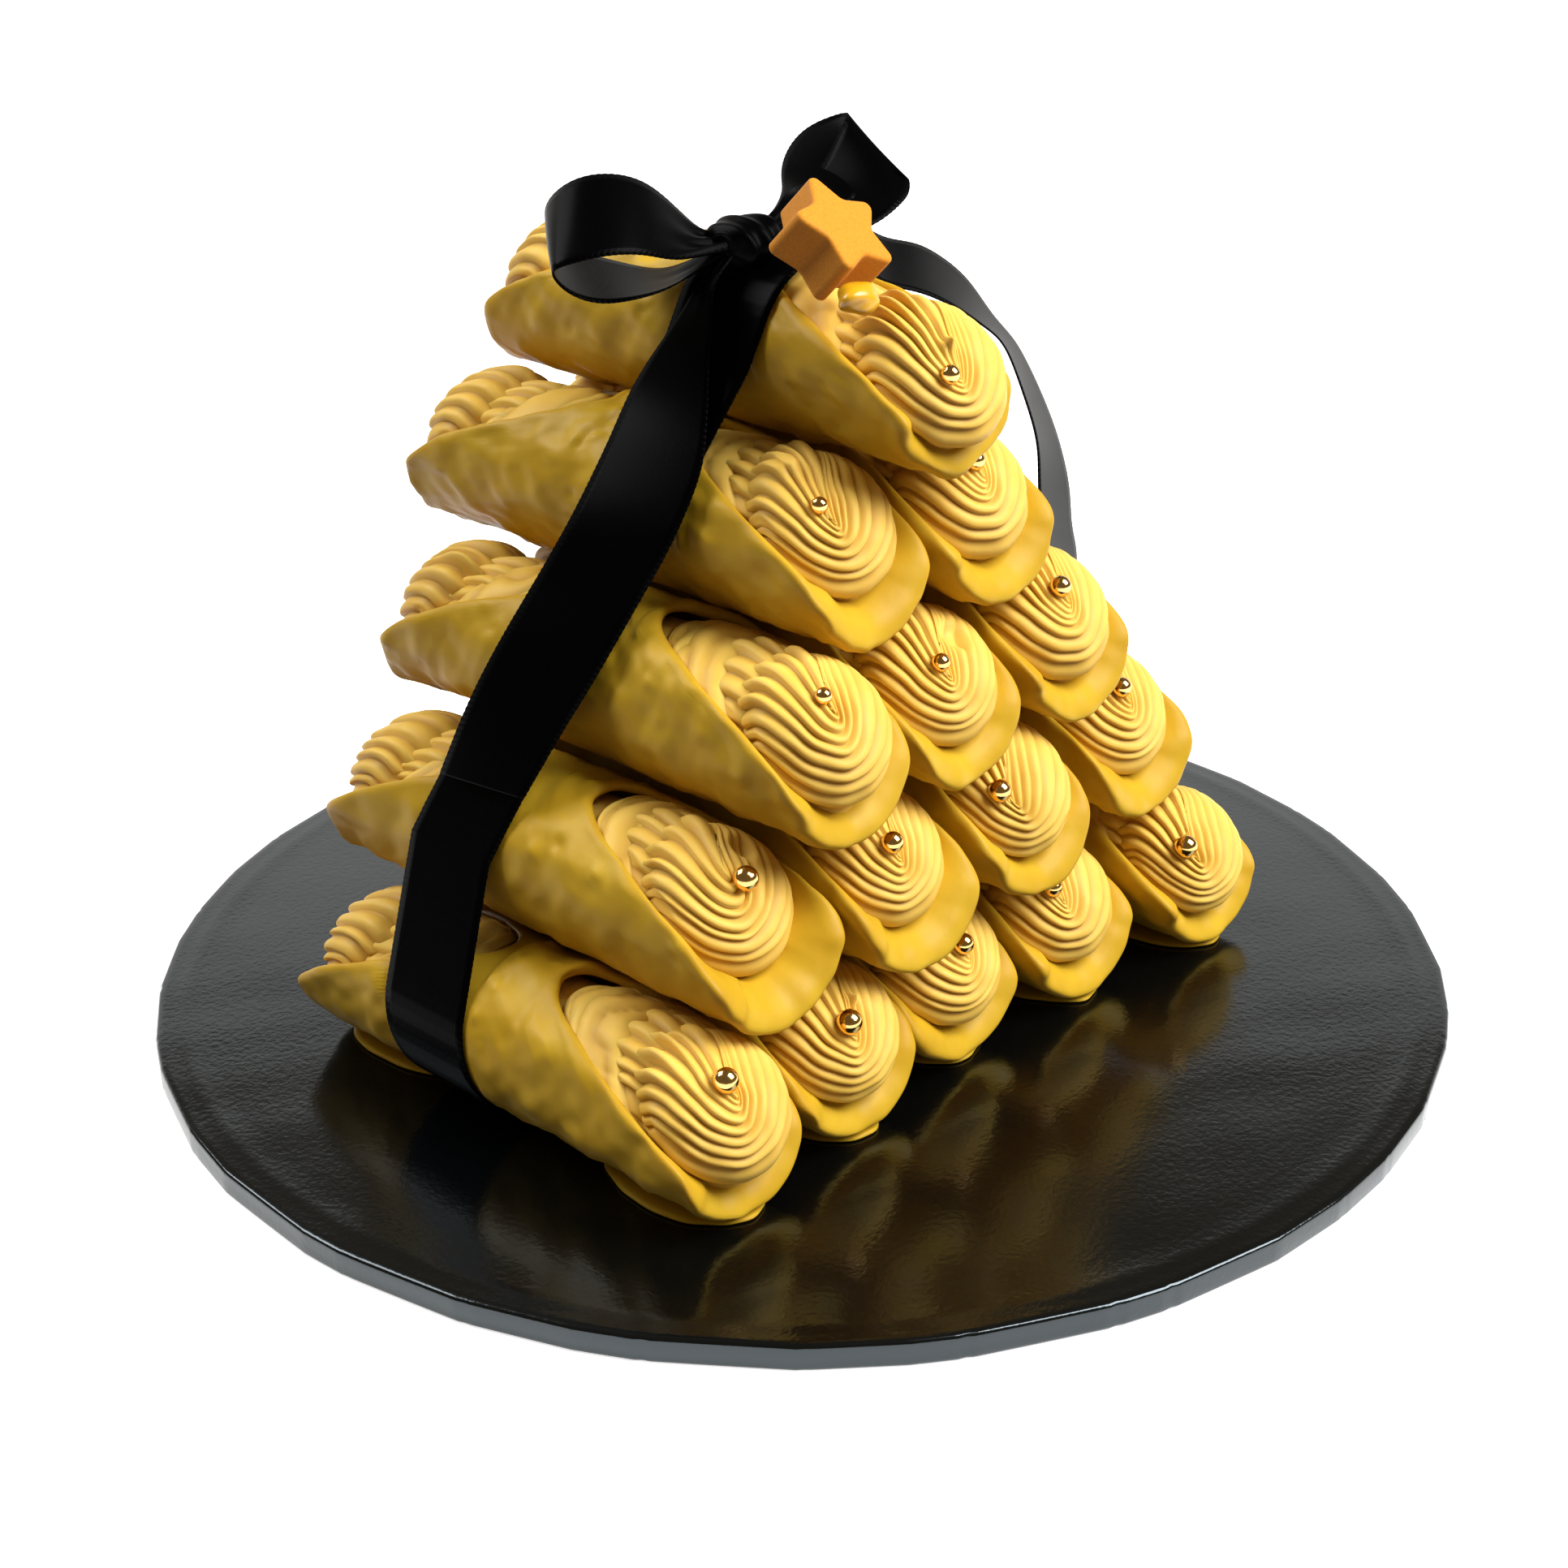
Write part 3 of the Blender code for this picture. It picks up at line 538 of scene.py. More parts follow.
def band_y(x, z):
    """Where the band runs front to back: straight between the top, the sides and below."""
    side = np.where(x < TUBES["E1"]["x"], BAND_LEFT_Y, BAND_RIGHT_Y)
    rise = np.clip((z - BAND_WIDEST_Z) / (TUBES["E1"]["z"] - BAND_WIDEST_Z), 0, 1)
    fall = np.clip((BAND_WIDEST_Z - z) / BAND_WIDEST_Z, 0, 1)
    return side + (BAND_TOP_Y - side) * rise + (BAND_BOTTOM_Y - side) * fall


print("ribbon on the top tube at y =", BAND_TOP_Y)

# %% Lips of one shell
LEVEL_ANGLE = math.radians(68)
NOTCH_DEPTH = 53.0 * MM
LIP_ROUND = 2.2 * MM
# Lobes of a lip: how many go round the tube, and their height in millimetres
LIP_LOBES = ((2, 0.6), (3, 0.6), (5, 0.5), (9, 0.5), (14, 0.35))
LEAST_LIP_LOBE = 0.4
# How far the lip is cut back on its right-hand side, in millimetres
RIGHT_CUTS = {"B1": 3.5, "A1": 0.0}
USUAL_RIGHT_CUT = 2.0
# The cut's place round the tube, and its reach, in radians
RIGHT_CUT_ANGLE, RIGHT_CUT_SPREAD = 1.5, 0.6


def lip_setback(angle):
    """Lip's distance behind the tip: level below, then an eased cosine up to the notch."""
    past = np.clip((np.abs(angle) - LEVEL_ANGLE) / (math.pi - LEVEL_ANGLE), 0.0, 1.0)
    return NOTCH_DEPTH * 0.5 * (1 - np.cos(math.pi * past))


def lip_edge(angle, seed, right_cut):
    """Setback with lobes added, and how long the rounded edge is along the tube."""
    draw = np.random.default_rng(seed)
    left = 0.35 + 0.65 * smooth(-np.sin(angle), -0.1, 0.7)
    setback = lip_setback(angle) - left * MM * lobes(angle, draw, LIP_LOBES, LEAST_LIP_LOBE)
    cut_shape = np.exp(-((angle - RIGHT_CUT_ANGLE) / RIGHT_CUT_SPREAD) ** 2)
    setback += right_cut * MM * cut_shape
    slope = np.gradient(lip_setback(angle), axis=-1) / (angle[..., 1:2] - angle[..., :1])
    depth = LIP_ROUND * np.sqrt(1 + (slope / HALF_WIDTH) ** 2)
    return setback, depth


print("lip on top:", round(float(lip_setback(math.pi)), 4), "m behind the tip")

# %% Lumps of the coating
ROUND_COLUMNS = 144
OUTER_ROWS = 104
INNER_ROWS = 26
LIP_ROWS = 7
# Swells: height and length in mm, the seed's shift, share where smooth, and added where rough
COATING_SWELLS = (
    (0.45, 16.0, 1, 1.0, 0.0),
    (0.20, 7.0, 2, 0.6, 1.0),
    (0.05, 3.2, 5, 0.5, 1.0),
)
SWELL_LOWEST, SWELL_HIGHEST = -1.0 * MM, 0.9 * MM
PIMPLES, MORE_IF_ROUGH = 40, 70
PIMPLE_RADII_MM = (0.8, 2.0)
# A pimple's height, as a share of its radius
PIMPLE_HEIGHT = 0.36
# Two bumps in three stand out as pimples, and the third is a dimple
PIMPLE_SIGNS = [1.0, 1.0, -1.0]
# The bead along a lip: its height, and how soon it dies out behind the lip
LIP_BEAD, LIP_BEAD_RUN = 0.5 * MM, 3.0 * MM
# How far from the band's middle the coating is flat, and from where on it is free
PRESSED_FLAT, PRESSED_EDGE = 13.5 * MM, 16.0 * MM
# The highest that the coating may stand there
UNDER_BAND, BESIDE_BAND = 0.1 * MM, 1.6 * MM
INNER_SWELL, INNER_SWELL_LENGTH = 0.25 * MM, 12.0 * MM


def bumps(places, spots, radius, height):
    """Round pimples: a sum of bell curves round chosen spots on the surface."""
    gap = np.linalg.norm(places[..., None, :] - spots, axis=-1)
    return (height * np.exp(-((gap / radius) ** 2))).sum(-1)


def coating_swell(tube, plain, outward, from_lip, rough):
    """How far the coating stands off the plain wall: swells, pimples and a bead at the lip.

    It has a highest and a lowest value, and it lies flat where the band presses on it.
    """
    swell = sum(
        height * MM * (even + more * rough) * waves(plain, length * MM, tube["seed"] + shift)
        for height, length, shift, even, more in COATING_SWELLS
    )
    draw = np.random.default_rng(tube["seed"] + 3)
    spots = plain[:OUTER_ROWS].reshape(-1, 3)
    chosen = spots[draw.integers(0, len(spots), int(PIMPLES + MORE_IF_ROUGH * rough))]
    size = draw.uniform(*PIMPLE_RADII_MM, len(chosen)) * MM
    swell += bumps(plain, chosen, size, size * PIMPLE_HEIGHT * np.resize(PIMPLE_SIGNS, len(chosen)))
    bead = LIP_BEAD * np.exp(-np.clip(from_lip, 0, None) / LIP_BEAD_RUN)
    swell = (np.clip(swell, SWELL_LOWEST, SWELL_HIGHEST) + bead) * outward
    to_band = np.abs(plain[..., 1] - band_y(plain[..., 0], plain[..., 2]))
    beside = smooth(to_band, PRESSED_FLAT, PRESSED_EDGE)
    swell = np.minimum(swell, UNDER_BAND + (BESIDE_BAND - UNDER_BAND) * beside)
    inner = INNER_SWELL * waves(plain, INNER_SWELL_LENGTH, tube["seed"] + 4)
    return swell + inner * (1 - outward)


print("coating stands off by up to", SWELL_HIGHEST + LIP_BEAD, "m")

# %% Rows of the wall
def wall_rows(front_y, front_depth, back_y, back_depth):
    """Where each row lies along the tube, and its share of the way out through the wall.

    Each lip is half an ellipse, as deep as the rounded edge is long.
    """
    arc = np.linspace(-math.pi / 2, math.pi / 2, LIP_ROWS + 2)[1:-1, None]
    start, end = front_y + front_depth, back_y - back_depth
    y = np.vstack([
        start + np.linspace(0, 1, OUTER_ROWS)[:, None] * (end - start),
        end + back_depth * np.cos(arc[::-1]),
        start + np.linspace(1, 0, INNER_ROWS)[:, None] * (end - start),
        start - front_depth * np.cos(arc),
    ])
    outward = np.vstack([
        np.ones((OUTER_ROWS, 1)),
        0.5 + 0.5 * np.sin(arc[::-1]),
        np.zeros((INNER_ROWS, 1)),
        0.5 + 0.5 * np.sin(arc),
    ])
    return y, outward + 0.0 * y


print("rows of the wall:", OUTER_ROWS + INNER_ROWS + 2 * LIP_ROWS)

# %% Shape of one shell
WALL = 3.0 * MM
THIN_WALL = 2.3 * MM
FLOOR_THICKER = 5.8 * MM
FLOOR_RUN = 9.0 * MM
# Ranges of the angle from straight down, in radians, over which each thing eases
TROUGH_ANGLES = (0.9, 1.9)
BROWN_ANGLES = (0.5, 1.4)
BROWN_RUN = 2.2 * MM
MOST_BROWN = 0.6


def shell_grid(tube, rough):
    """Closed wall of one tube: (rows, columns, 3) points, and browning along its lips."""
    angle = np.linspace(-math.pi, math.pi, ROUND_COLUMNS, endpoint=False)[None, :]
    right_cut = RIGHT_CUTS.get(tube["name"], USUAL_RIGHT_CUT)
    front_setback, front_depth = lip_edge(angle, tube["seed"], right_cut)
    back_setback, back_depth = lip_edge(angle, tube["seed"] + 50, 0.0)
    front_y = tube["front"] + front_setback
    back_y = tube["front"] + tube["length"] - back_setback
    y, outward = wall_rows(front_y, front_depth, back_y, back_depth)
    from_lip = np.minimum(y - front_y, back_y - y)
    # Behind the lip the coating fills the trough, so the inside slopes up to the cream
    lower = 1 - smooth(np.abs(angle), *TROUGH_ANGLES)
    rim = THIN_WALL + (WALL - THIN_WALL) * lower
    climb = np.sin(math.pi / 2 * np.clip(from_lip / FLOOR_RUN, 0, 1))
    inset = (rim + FLOOR_THICKER * lower * climb) * (1 - outward)

    def at(proud):
        """The wall's ellipse round the tube's axis, grown by proud."""
        across = tube["x"] + (HALF_WIDTH - inset + proud) * np.sin(angle)
        height = tube["z"] - (tube["tall"] - inset + proud) * np.cos(angle)
        return np.stack([across, y, height], axis=-1)

    swell = coating_swell(tube, at(0.0), outward, from_lip, rough)
    # Nothing stands out under a bottom tube, where the board is
    free = smooth(-np.cos(angle), -0.9, -0.5) if tube["bottom"] else 1.0
    grid = at(np.minimum(swell, 0.0) + np.maximum(swell, 0.0) * free)

    edge = np.exp(-np.clip(from_lip, 0, None) / BROWN_RUN)
    sides = smooth(np.abs(angle), *BROWN_ANGLES)
    browning = MOST_BROWN * edge * (0.2 + 0.8 * sides) * (0.3 + 0.7 * outward)
    return grid, browning


print("wall:", THIN_WALL, "m at the notch,", WALL, "m below")

# %% [markdown]
# ## The feet
#
# Coating ran down the bottom tubes and set on the board as thin puddles with a rounded rim.
# Fluid simulation could pour them, at the cost of minutes and of a new shape at each change.
# A stack of uneven oval rings, lower and lower towards the rim, gives the same puddle.

# %% Feet of set coating
FOOT_HALF_WIDTH = 12.2 * MM
FOOT_HALF_LENGTH = 20.0 * MM
# How far a foot reaches past its lip: below zero, only its lobes show in front
FOOT_SHOWN = -0.6 * MM
FOOT_THICKNESS = 1.1 * MM
FOOT_GAP = 0.15 * MM
FOOT_SPOKES = 72
# Rings from the middle of a foot out over its rim and in under it: their reach and height
FOOT_REACH = (0.02, 0.35, 0.7, 0.9, 0.97, 1.0, 0.985, 0.9, 0.4, 0.02)
FOOT_LIFT = (1.0, 1.0, 1.0, 0.97, 0.8, 0.45, 0.12, 0.0, 0.0, 0.0)
FOOT_LOBES = ((2, 0.03), (3, 0.03), (5, 0.02), (8, 0.012), (13, 0.008))
LEAST_FOOT_LOBE = 0.3


def foot_grid(x, y, seed):
    """A thin oval puddle: its rings' reach times an oval with lobes, at its rings' heights."""
    turn = np.linspace(0, 2 * math.pi, FOOT_SPOKES, endpoint=False)[None, :]
    wobble = lobes(turn, np.random.default_rng(seed), FOOT_LOBES, LEAST_FOOT_LOBE)
    reach = np.array(FOOT_REACH)[:, None] * (1 + wobble)
    lift = np.array(FOOT_LIFT)[:, None] + 0.0 * turn
    return np.stack([
        x + FOOT_HALF_WIDTH * reach * np.cos(turn),
        y + FOOT_HALF_LENGTH * reach * np.sin(turn),
        BOARD_TOP + FOOT_GAP + FOOT_THICKNESS * lift,
    ], axis=-1)


print("a foot's rings:", len(FOOT_REACH))

# %% Build the shells
# How rough the coating is on the tubes where that differs from the rest
ROUGHNESS = {"E1": 1.0, "D1": 0.7, "B1": 0.5, "A1": 0.2, "C1": 0.5}
USUAL_ROUGHNESS = 0.4
for name, tube in TUBES.items():
    grid, browning = shell_grid(tube, ROUGHNESS.get(name, USUAL_ROUGHNESS))
    islands = [island(grid, browning.ravel(), closed=True)]
    if tube["bottom"]:
        inset = FOOT_HALF_LENGTH - FOOT_SHOWN
        for step, y in enumerate((tube["front"] + inset, tube["front"] + tube["length"] - inset)):
            islands.append(island(foot_grid(tube["x"], y, tube["seed"] + 70 + step), flip=True))
    points, faces, tint, _ = join_islands(islands)
    shell = mesh_piece("coated_shell_" + name, points, faces, [coating], {"browning": tint})
    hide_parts("shell_" + name)
print("one shell:", len(faces), "faces")

# %% [markdown]
# ## The filling
#
# The cream is piped in at each end with a star nozzle. The nozzle's teeth leave ridges that
# start with torn tips on one side, sweep round under the pearl in nested U shapes and die out
# up the other side. A star-shaped profile swept along a path would make one rope of cream, but
# not this skin, whose ridges run into each other. So the swirl is a patch whose lines are
# those U shapes. It is blended between four border lines, a slit at its pole, the oval's lower
# outline and an arc on each side, and is then raised into a dome, with ridges across it.

# %% Cream and gold finishes
# Caramel buttercream: whipped fat and sugar, matte with a soft sheen, and light scatters a
# little in the fat. Painted shade makes its grooves and its folds' hollows deeper and warmer.
CREAM_CLOUD_MM, CREAM_SKIN_MM, LEAF_MM = 9.0, 0.9, 1.1
cream, tree, shader = new_material("caramel_buttercream", {
    "Roughness": 0.50,
    "IOR": 1.45,
    "Specular IOR Level": 0.25,
    "Subsurface Weight": 0.2,
    "Subsurface Radius": (1.0, 0.6, 0.2),
    "Subsurface Scale": 0.0018,
})
tone = clouds(tree, CREAM_CLOUD_MM, ("#e8bd52", "#f0c75f"), (0.35, 0.65))
# Painted shade: a deeper ochre mixed in where the swirls' grooves and the folds' hollows lie
groove_shade = add_node(tree, "ShaderNodeAttribute", {"attribute_name": "groove_shade"})
groove_shaded = add_node(tree, "ShaderNodeMix", {"data_type": "RGBA", 7: linear("#c8993a")},
                {0: groove_shade.outputs["Fac"], 6: tone})
tree.links.new(groove_shaded.outputs[2], shader.inputs["Base Color"])
roughen(tree, shader, CREAM_SKIN_MM, 3.0, 0.25, 0.1)

# Gold dragee: a sugar ball with a polished metal leaf, nearly a mirror.
gold, tree, shader = new_material("gold_leaf_pearl", {
    "Base Color": linear("#edc074"),
    "Metallic": 1.0,
    "Roughness": 0.13,
})
roughen(tree, shader, LEAF_MM, 2.0, 0.12, 0.1)
print("cream clouds:", CREAM_CLOUD_MM, "mm, skin:", CREAM_SKIN_MM, "mm")

# %% Uneven rows of ridges
# How closely the ridges lie at the rim, 1 being evenly
RIM_POWER = 1.35
RIDGE_SAMPLES = 9
NARROWEST_RIDGE, WIDEST_RIDGE = 0.6, 1.4


def ridge_rows(ridges, seed):
    """Row shares 0 to 1 over uneven ridges, each row's place in its ridge, and its number."""
    draw = np.random.default_rng(seed)
    width = draw.uniform(NARROWEST_RIDGE, WIDEST_RIDGE, ridges)
    edges = np.concatenate([[0.0], np.cumsum(width) / width.sum()])
    row = np.arange(ridges * RIDGE_SAMPLES + 1)
    ridge = np.minimum(row // RIDGE_SAMPLES, ridges - 1)
    within = (row - ridge * RIDGE_SAMPLES) / RIDGE_SAMPLES
    share = edges[ridge] + within * width[ridge] / width.sum()
    # The dome falls steeply at its rim, so the ridges lie closer together there
    return 1 - np.clip(1 - share, 0.0, 1.0) ** RIM_POWER, 2 * within - 1, ridge


print("rows over two ridges:", len(ridge_rows(2, 0)[0]))

# %% Map of the swirl's lines
DISC_WIDE = 14.9 * MM
DISC_LONG = 16.5 * MM
# Angles on the oval's rim: where the slit starts, and where the outermost ridge ends
SLIT_ANGLE = math.radians(64)
LEFT_END = math.radians(177)
RIGHT_END = math.radians(20)
# How far the U shapes lean to the left, and how sharply they turn at the pole
LEFTWARD = -0.12
POLE_SOFT = 0.10
SLIT_BOW = 1.5
RIGHT_ARC_POWER = 3
# The power that spreads the ridges on the left, and how many times it grows to the right
LEFT_POWER, POWER_GROWTH = 0.55, 4.5
GROWTH_FROM, GROWTH_TO = 0.25, 0.85


def swirl_map(share, columns, pole):
    """Patch between four lines: slit to the pole and back, lower rim, and two upper arcs.

    Lines of equal t are U shapes. T, the share of the way from slit to rim, is t raised to a
    power that grows from left to right: on the left the ridges spread out to the rim, and on
    the right they crowd together beside the pole.
    """
    t = np.asarray(share)[:, None]
    s = np.linspace(0.0, 1.0, columns + 1)[None, :]
    pole_x, pole_v = pole
    down = np.sqrt((2 * s - 1) ** 2 + POLE_SOFT ** 2) - POLE_SOFT
    down /= math.sqrt(1 + POLE_SOFT ** 2) - POLE_SOFT
    inner_x = pole_x + (DISC_WIDE * math.cos(SLIT_ANGLE) - pole_x) * down ** SLIT_BOW
    inner_v = pole_v + (DISC_LONG * math.sin(SLIT_ANGLE) - pole_v) * down
    lower = LEFT_END + (RIGHT_END + 2 * math.pi - LEFT_END) * (s + LEFTWARD * np.sin(math.pi * s))
    outer_x, outer_v = DISC_WIDE * np.cos(lower), DISC_LONG * np.sin(lower)
    growth = smooth(s, GROWTH_FROM, GROWTH_TO)
    away = t ** (LEFT_POWER * POWER_GROWTH ** growth)
    left = SLIT_ANGLE + (LEFT_END - SLIT_ANGLE) * t
    right_side = SLIT_ANGLE + (RIGHT_END - SLIT_ANGLE) * t ** RIGHT_ARC_POWER
    left_x, left_v = DISC_WIDE * np.cos(left), DISC_LONG * np.sin(left)
    right_x, right_v = DISC_WIDE * np.cos(right_side), DISC_LONG * np.sin(right_side)

    def blended(inner, outer, at_left, at_right):
        """Inner line to outer line, bent so that both sides lie on their own arcs."""
        first, last = away[:, :1], away[:, -1:]
        left_error = at_left - (1 - first) * inner[:, :1] - first * outer[:, :1]
        right_error = at_right - (1 - last) * inner[:, -1:] - last * outer[:, -1:]
        plain = (1 - away) * inner + away * outer
        return plain + (1 - s) ** 2 * left_error + s ** 2 * right_error

    return (blended(inner_x, outer_x, left_x, right_x),
            blended(inner_v, outer_v, left_v, right_v), t + 0 * s, s + 0 * t)


print("the oval is", 2 * DISC_WIDE, "by", 2 * DISC_LONG, "m")

# %% Dome
DOME_HEIGHT = 13.5 * MM
DOME_POWER = 2.2


def dome(across, upward):
    """Height of the cream over its disc: a superellipse over the oval."""
    share = np.clip((across / DISC_WIDE) ** 2 + (upward / DISC_LONG) ** 2, 0.0, 1.0)
    return DOME_HEIGHT * (1 - share ** (DOME_POWER / 2)) ** (1 / DOME_POWER)


print("dome over the middle:", round(float(dome(0.0, 0.0)), 4), "m")

# %% Place in the tube
TILT = math.radians(45)
WALL_GAP = 1.4 * MM
PRESSED_RADIUS = 18.5 * MM
LIP_CLEARANCE = 3.0 * MM
LIP_EASE = 12.0 * MM
STREAK_DROP = 0.10
# How far each front swirl's middle lies behind the lip, and above the axis, in millimetres
FRONT_SWIRLS = {
    "B1": (10.0, 3.0), "B2": (12.0, 2.0), "B3": (12.0, 2.0), "B4": (14.0, 2.0),
    "B5": (12.0, 2.0), "A1": (19.0, 3.0), "A2": (17.0, 2.0), "A3": (14.0, 2.0),
    "A4": (16.0, 2.0), "C1": (12.0, 2.0), "C2": (15.0, 1.0), "C3": (14.0, 2.0),
    "D1": (15.5, 3.0), "D2": (15.0, 2.0), "E1": (11.5, -2.0),
}
BACK_SWIRL = (12.0, 2.0)


def inner_sizes(tube):
    """Half width and half height of the cream inside the wall."""
    return HALF_WIDTH - WALL - WALL_GAP, tube["tall"] - WALL - WALL_GAP


def swirl_place(tube, end):
    """How far a swirl's middle lies behind the lip, and above the tube's axis."""
    return np.array(FRONT_SWIRLS[tube["name"]] if end == "front" else BACK_SWIRL) * MM


def from_end(tube, end, inward):
    """The place along the tube that lies a way in from one end."""
    if end == "back":
        return tube["front"] + tube["length"] - inward
    return tube["front"] + inward


def in_tube(local, tube, end, margin=0.0, behind=0.0):
    """Turns (across, up, out) to the tube's end, kept inside the wall behind its lip."""
    setback, raised = swirl_place(tube, end) + behind * np.array([1.0, -STREAK_DROP])
    across, upward, out = np.moveaxis(np.asarray(local), -1, 0)
    upward = upward + raised
    inward = setback + upward * math.sin(TILT) - out * math.cos(TILT)
    squash = tube["tall"] / HALF_HEIGHT
    high = squash * (upward * math.cos(TILT) + out * math.sin(TILT))
    wide, tall = inner_sizes(tube)
    lip = lip_setback(np.arctan2(across, -high))
    free = np.clip((lip - LIP_CLEARANCE - inward) / LIP_EASE, 0.0, 1.0)
    wide = wide + (PRESSED_RADIUS - wide) * free + margin
    tall = tall + (PRESSED_RADIUS - tall) * free + margin
    fill = np.maximum(np.hypot(across / wide, high / tall), 1.0)
    y = from_end(tube, end, inward)
    return np.stack([tube["x"] + across / fill, y, tube["z"] + high / fill], axis=-1)


print("cream inside the wall:", [round(size, 4) for size in inner_sizes(TUBES["E1"])])

# %% Torn tips
TIP_RUN = 0.14
TIP_PULL_AWAY = 0.8
TIP_PULL_OUT = np.array([0.0, 0.1, 0.5])


def torn_tips(across, upward, s, t, crest, ridge, tip_length, seed):
    """Tips where the topmost ridges start: each of a random reach, pulled away and out."""
    draw = np.random.default_rng(seed)
    reach = draw.uniform(0.1, 1.0, ridge.max() + 1)[ridge][:, None] ** 1.5 * tip_length
    start = np.clip(1 - s / TIP_RUN, 0.0, 1.0) ** 1.5 * (1 - smooth(t, 0.45, 0.8))
    tip = reach * start * np.clip(crest, 0, 1) ** 2.0
    away = np.stack([across, upward + 3 * MM, 0.0 * across], axis=-1)
    away /= np.maximum(np.linalg.norm(away, axis=-1, keepdims=True), 1e-9)
    return tip[..., None] * (TIP_PULL_AWAY * away + TIP_PULL_OUT)


print("tips start in the first", TIP_RUN, "of a ridge")

# %% Ridges, peaks and gouges
# A ridge's lean, its greatest height as a share of its width, and its share below the dome
RIDGE_SKEW = 0.44
RIDGE_STEEPEST = 0.42
RIDGE_MIDDLE = 0.45
# How far the ridges wander, and how uneven their height is
WANDER, WANDER_LENGTH = 0.14 * MM, 8.0 * MM
UNEVEN, UNEVEN_LENGTH = 0.15, 7.0 * MM
# Ridges are lower up the right-hand side, where the nozzle lifted off
LIFT_OFF_FADE = 0.5
# The top of the swirl spreads a little, and its right-hand side is fuller than its left
SPREAD_START = 0.2
SPREAD = 0.05
FULLER_LEFT, FULLER_RIGHT = 1.04, 1.12


def swirl_grid(ridges, columns, pole, seed, relief, tip_length, marks=()):
    """The ridged dome: points (across, up, out), and painted shade, darkest deep in a groove."""
    share, within, ridge = ridge_rows(ridges, seed)
    across, upward, t, s = swirl_map(share, columns, pole)
    lift = np.clip((upward / DISC_LONG - SPREAD_START) / (1 - SPREAD_START), 0.0, 1.0)
    spread = 1 + SPREAD * lift * lift
    fuller = FULLER_LEFT + (FULLER_RIGHT - FULLER_LEFT) * smooth(across, 0.0, DISC_WIDE)
    out = dome(across, upward)
    base = np.stack([across * spread * fuller, upward * spread, out], axis=-1)
    wander = np.stack([waves(base, WANDER_LENGTH, seed + k) for k in (1, 2, 3)], axis=-1)
    hold = (np.sin(math.pi * s) * np.clip(t * 4, 0, 1))[..., None]
    base += WANDER * wander * hold

    normal = normals_of(base)
    normal *= np.sign(normal[..., 2].mean())
    normal[0] = (0.0, 0.0, 1.0)
    skewed = within - RIDGE_SKEW * (1 - within ** 2)
    crest = (1 - np.abs(skewed) ** 3)[:, None]
    spacing = np.linalg.norm(np.gradient(base, axis=0), axis=-1) * RIDGE_SAMPLES
    height = np.minimum(relief, RIDGE_STEEPEST * spacing)
    faded = 1 - LIFT_OFF_FADE * smooth(s, 0.6, 0.95)
    uneven = 1 + UNEVEN * waves(base, UNEVEN_LENGTH, seed + 5)
    stand = (crest - RIDGE_MIDDLE) * height * faded * uneven
    for mark_across, mark_up, radius, tall in marks:
        gap = np.hypot(across - mark_across * MM, upward - mark_up * MM) / (radius * MM)
        stand += tall * MM * (np.exp(-gap * 1.6) if tall > 0 else np.exp(-gap ** 4))
    grid = base + normal * stand[..., None]
    grid += torn_tips(across, upward, s, t, crest, ridge, tip_length, seed + 9)
    # Painted shade for the grooves: most at a groove's bottom, less where the ridges are low
    groove_shade = (1 - crest) ** 1.5 * faded * np.clip(height / relief, 0, 1)
    return grid, groove_shade


print("ridges may be as high as", RIDGE_STEEPEST, "of their spacing")

# %% [markdown]
# ## Behind the swirls
#
# A swirl only covers the mouth of a tube. Behind it, in the notch on top, lies cream of an
# earlier stroke, in broad soft folds. A flat plug would show there. So rows run from the
# swirl's own rim down to the wall, with folds across them, and the earlier stroke is a second,
# plainer swirl, further in.

# %% Heap behind a swirl
HEAP_ROWS = 17
HEAP_LENGTH = 50.0 * MM
HEAP_FLOOR_DROP = 7.5 * MM
HEAP_FLOOR_LEAST = 5.0 * MM
HEAP_SWELL_MM = 2.0
HEAP_FOLDS = 2.5
HEAP_FOLD_MM = 0.9
HEAP_FOLD_BEND, HEAP_FOLD_LENGTH = 0.35, 14.0 * MM
HEAP_DIP_MM = 2.6
# How many points of the rim, to each side, are averaged to even it out
RIM_SOFTENING = 12
# How much nearer to the wall the swirls and heaps come than the core
CREAM_MARGIN = 1.6 * MM


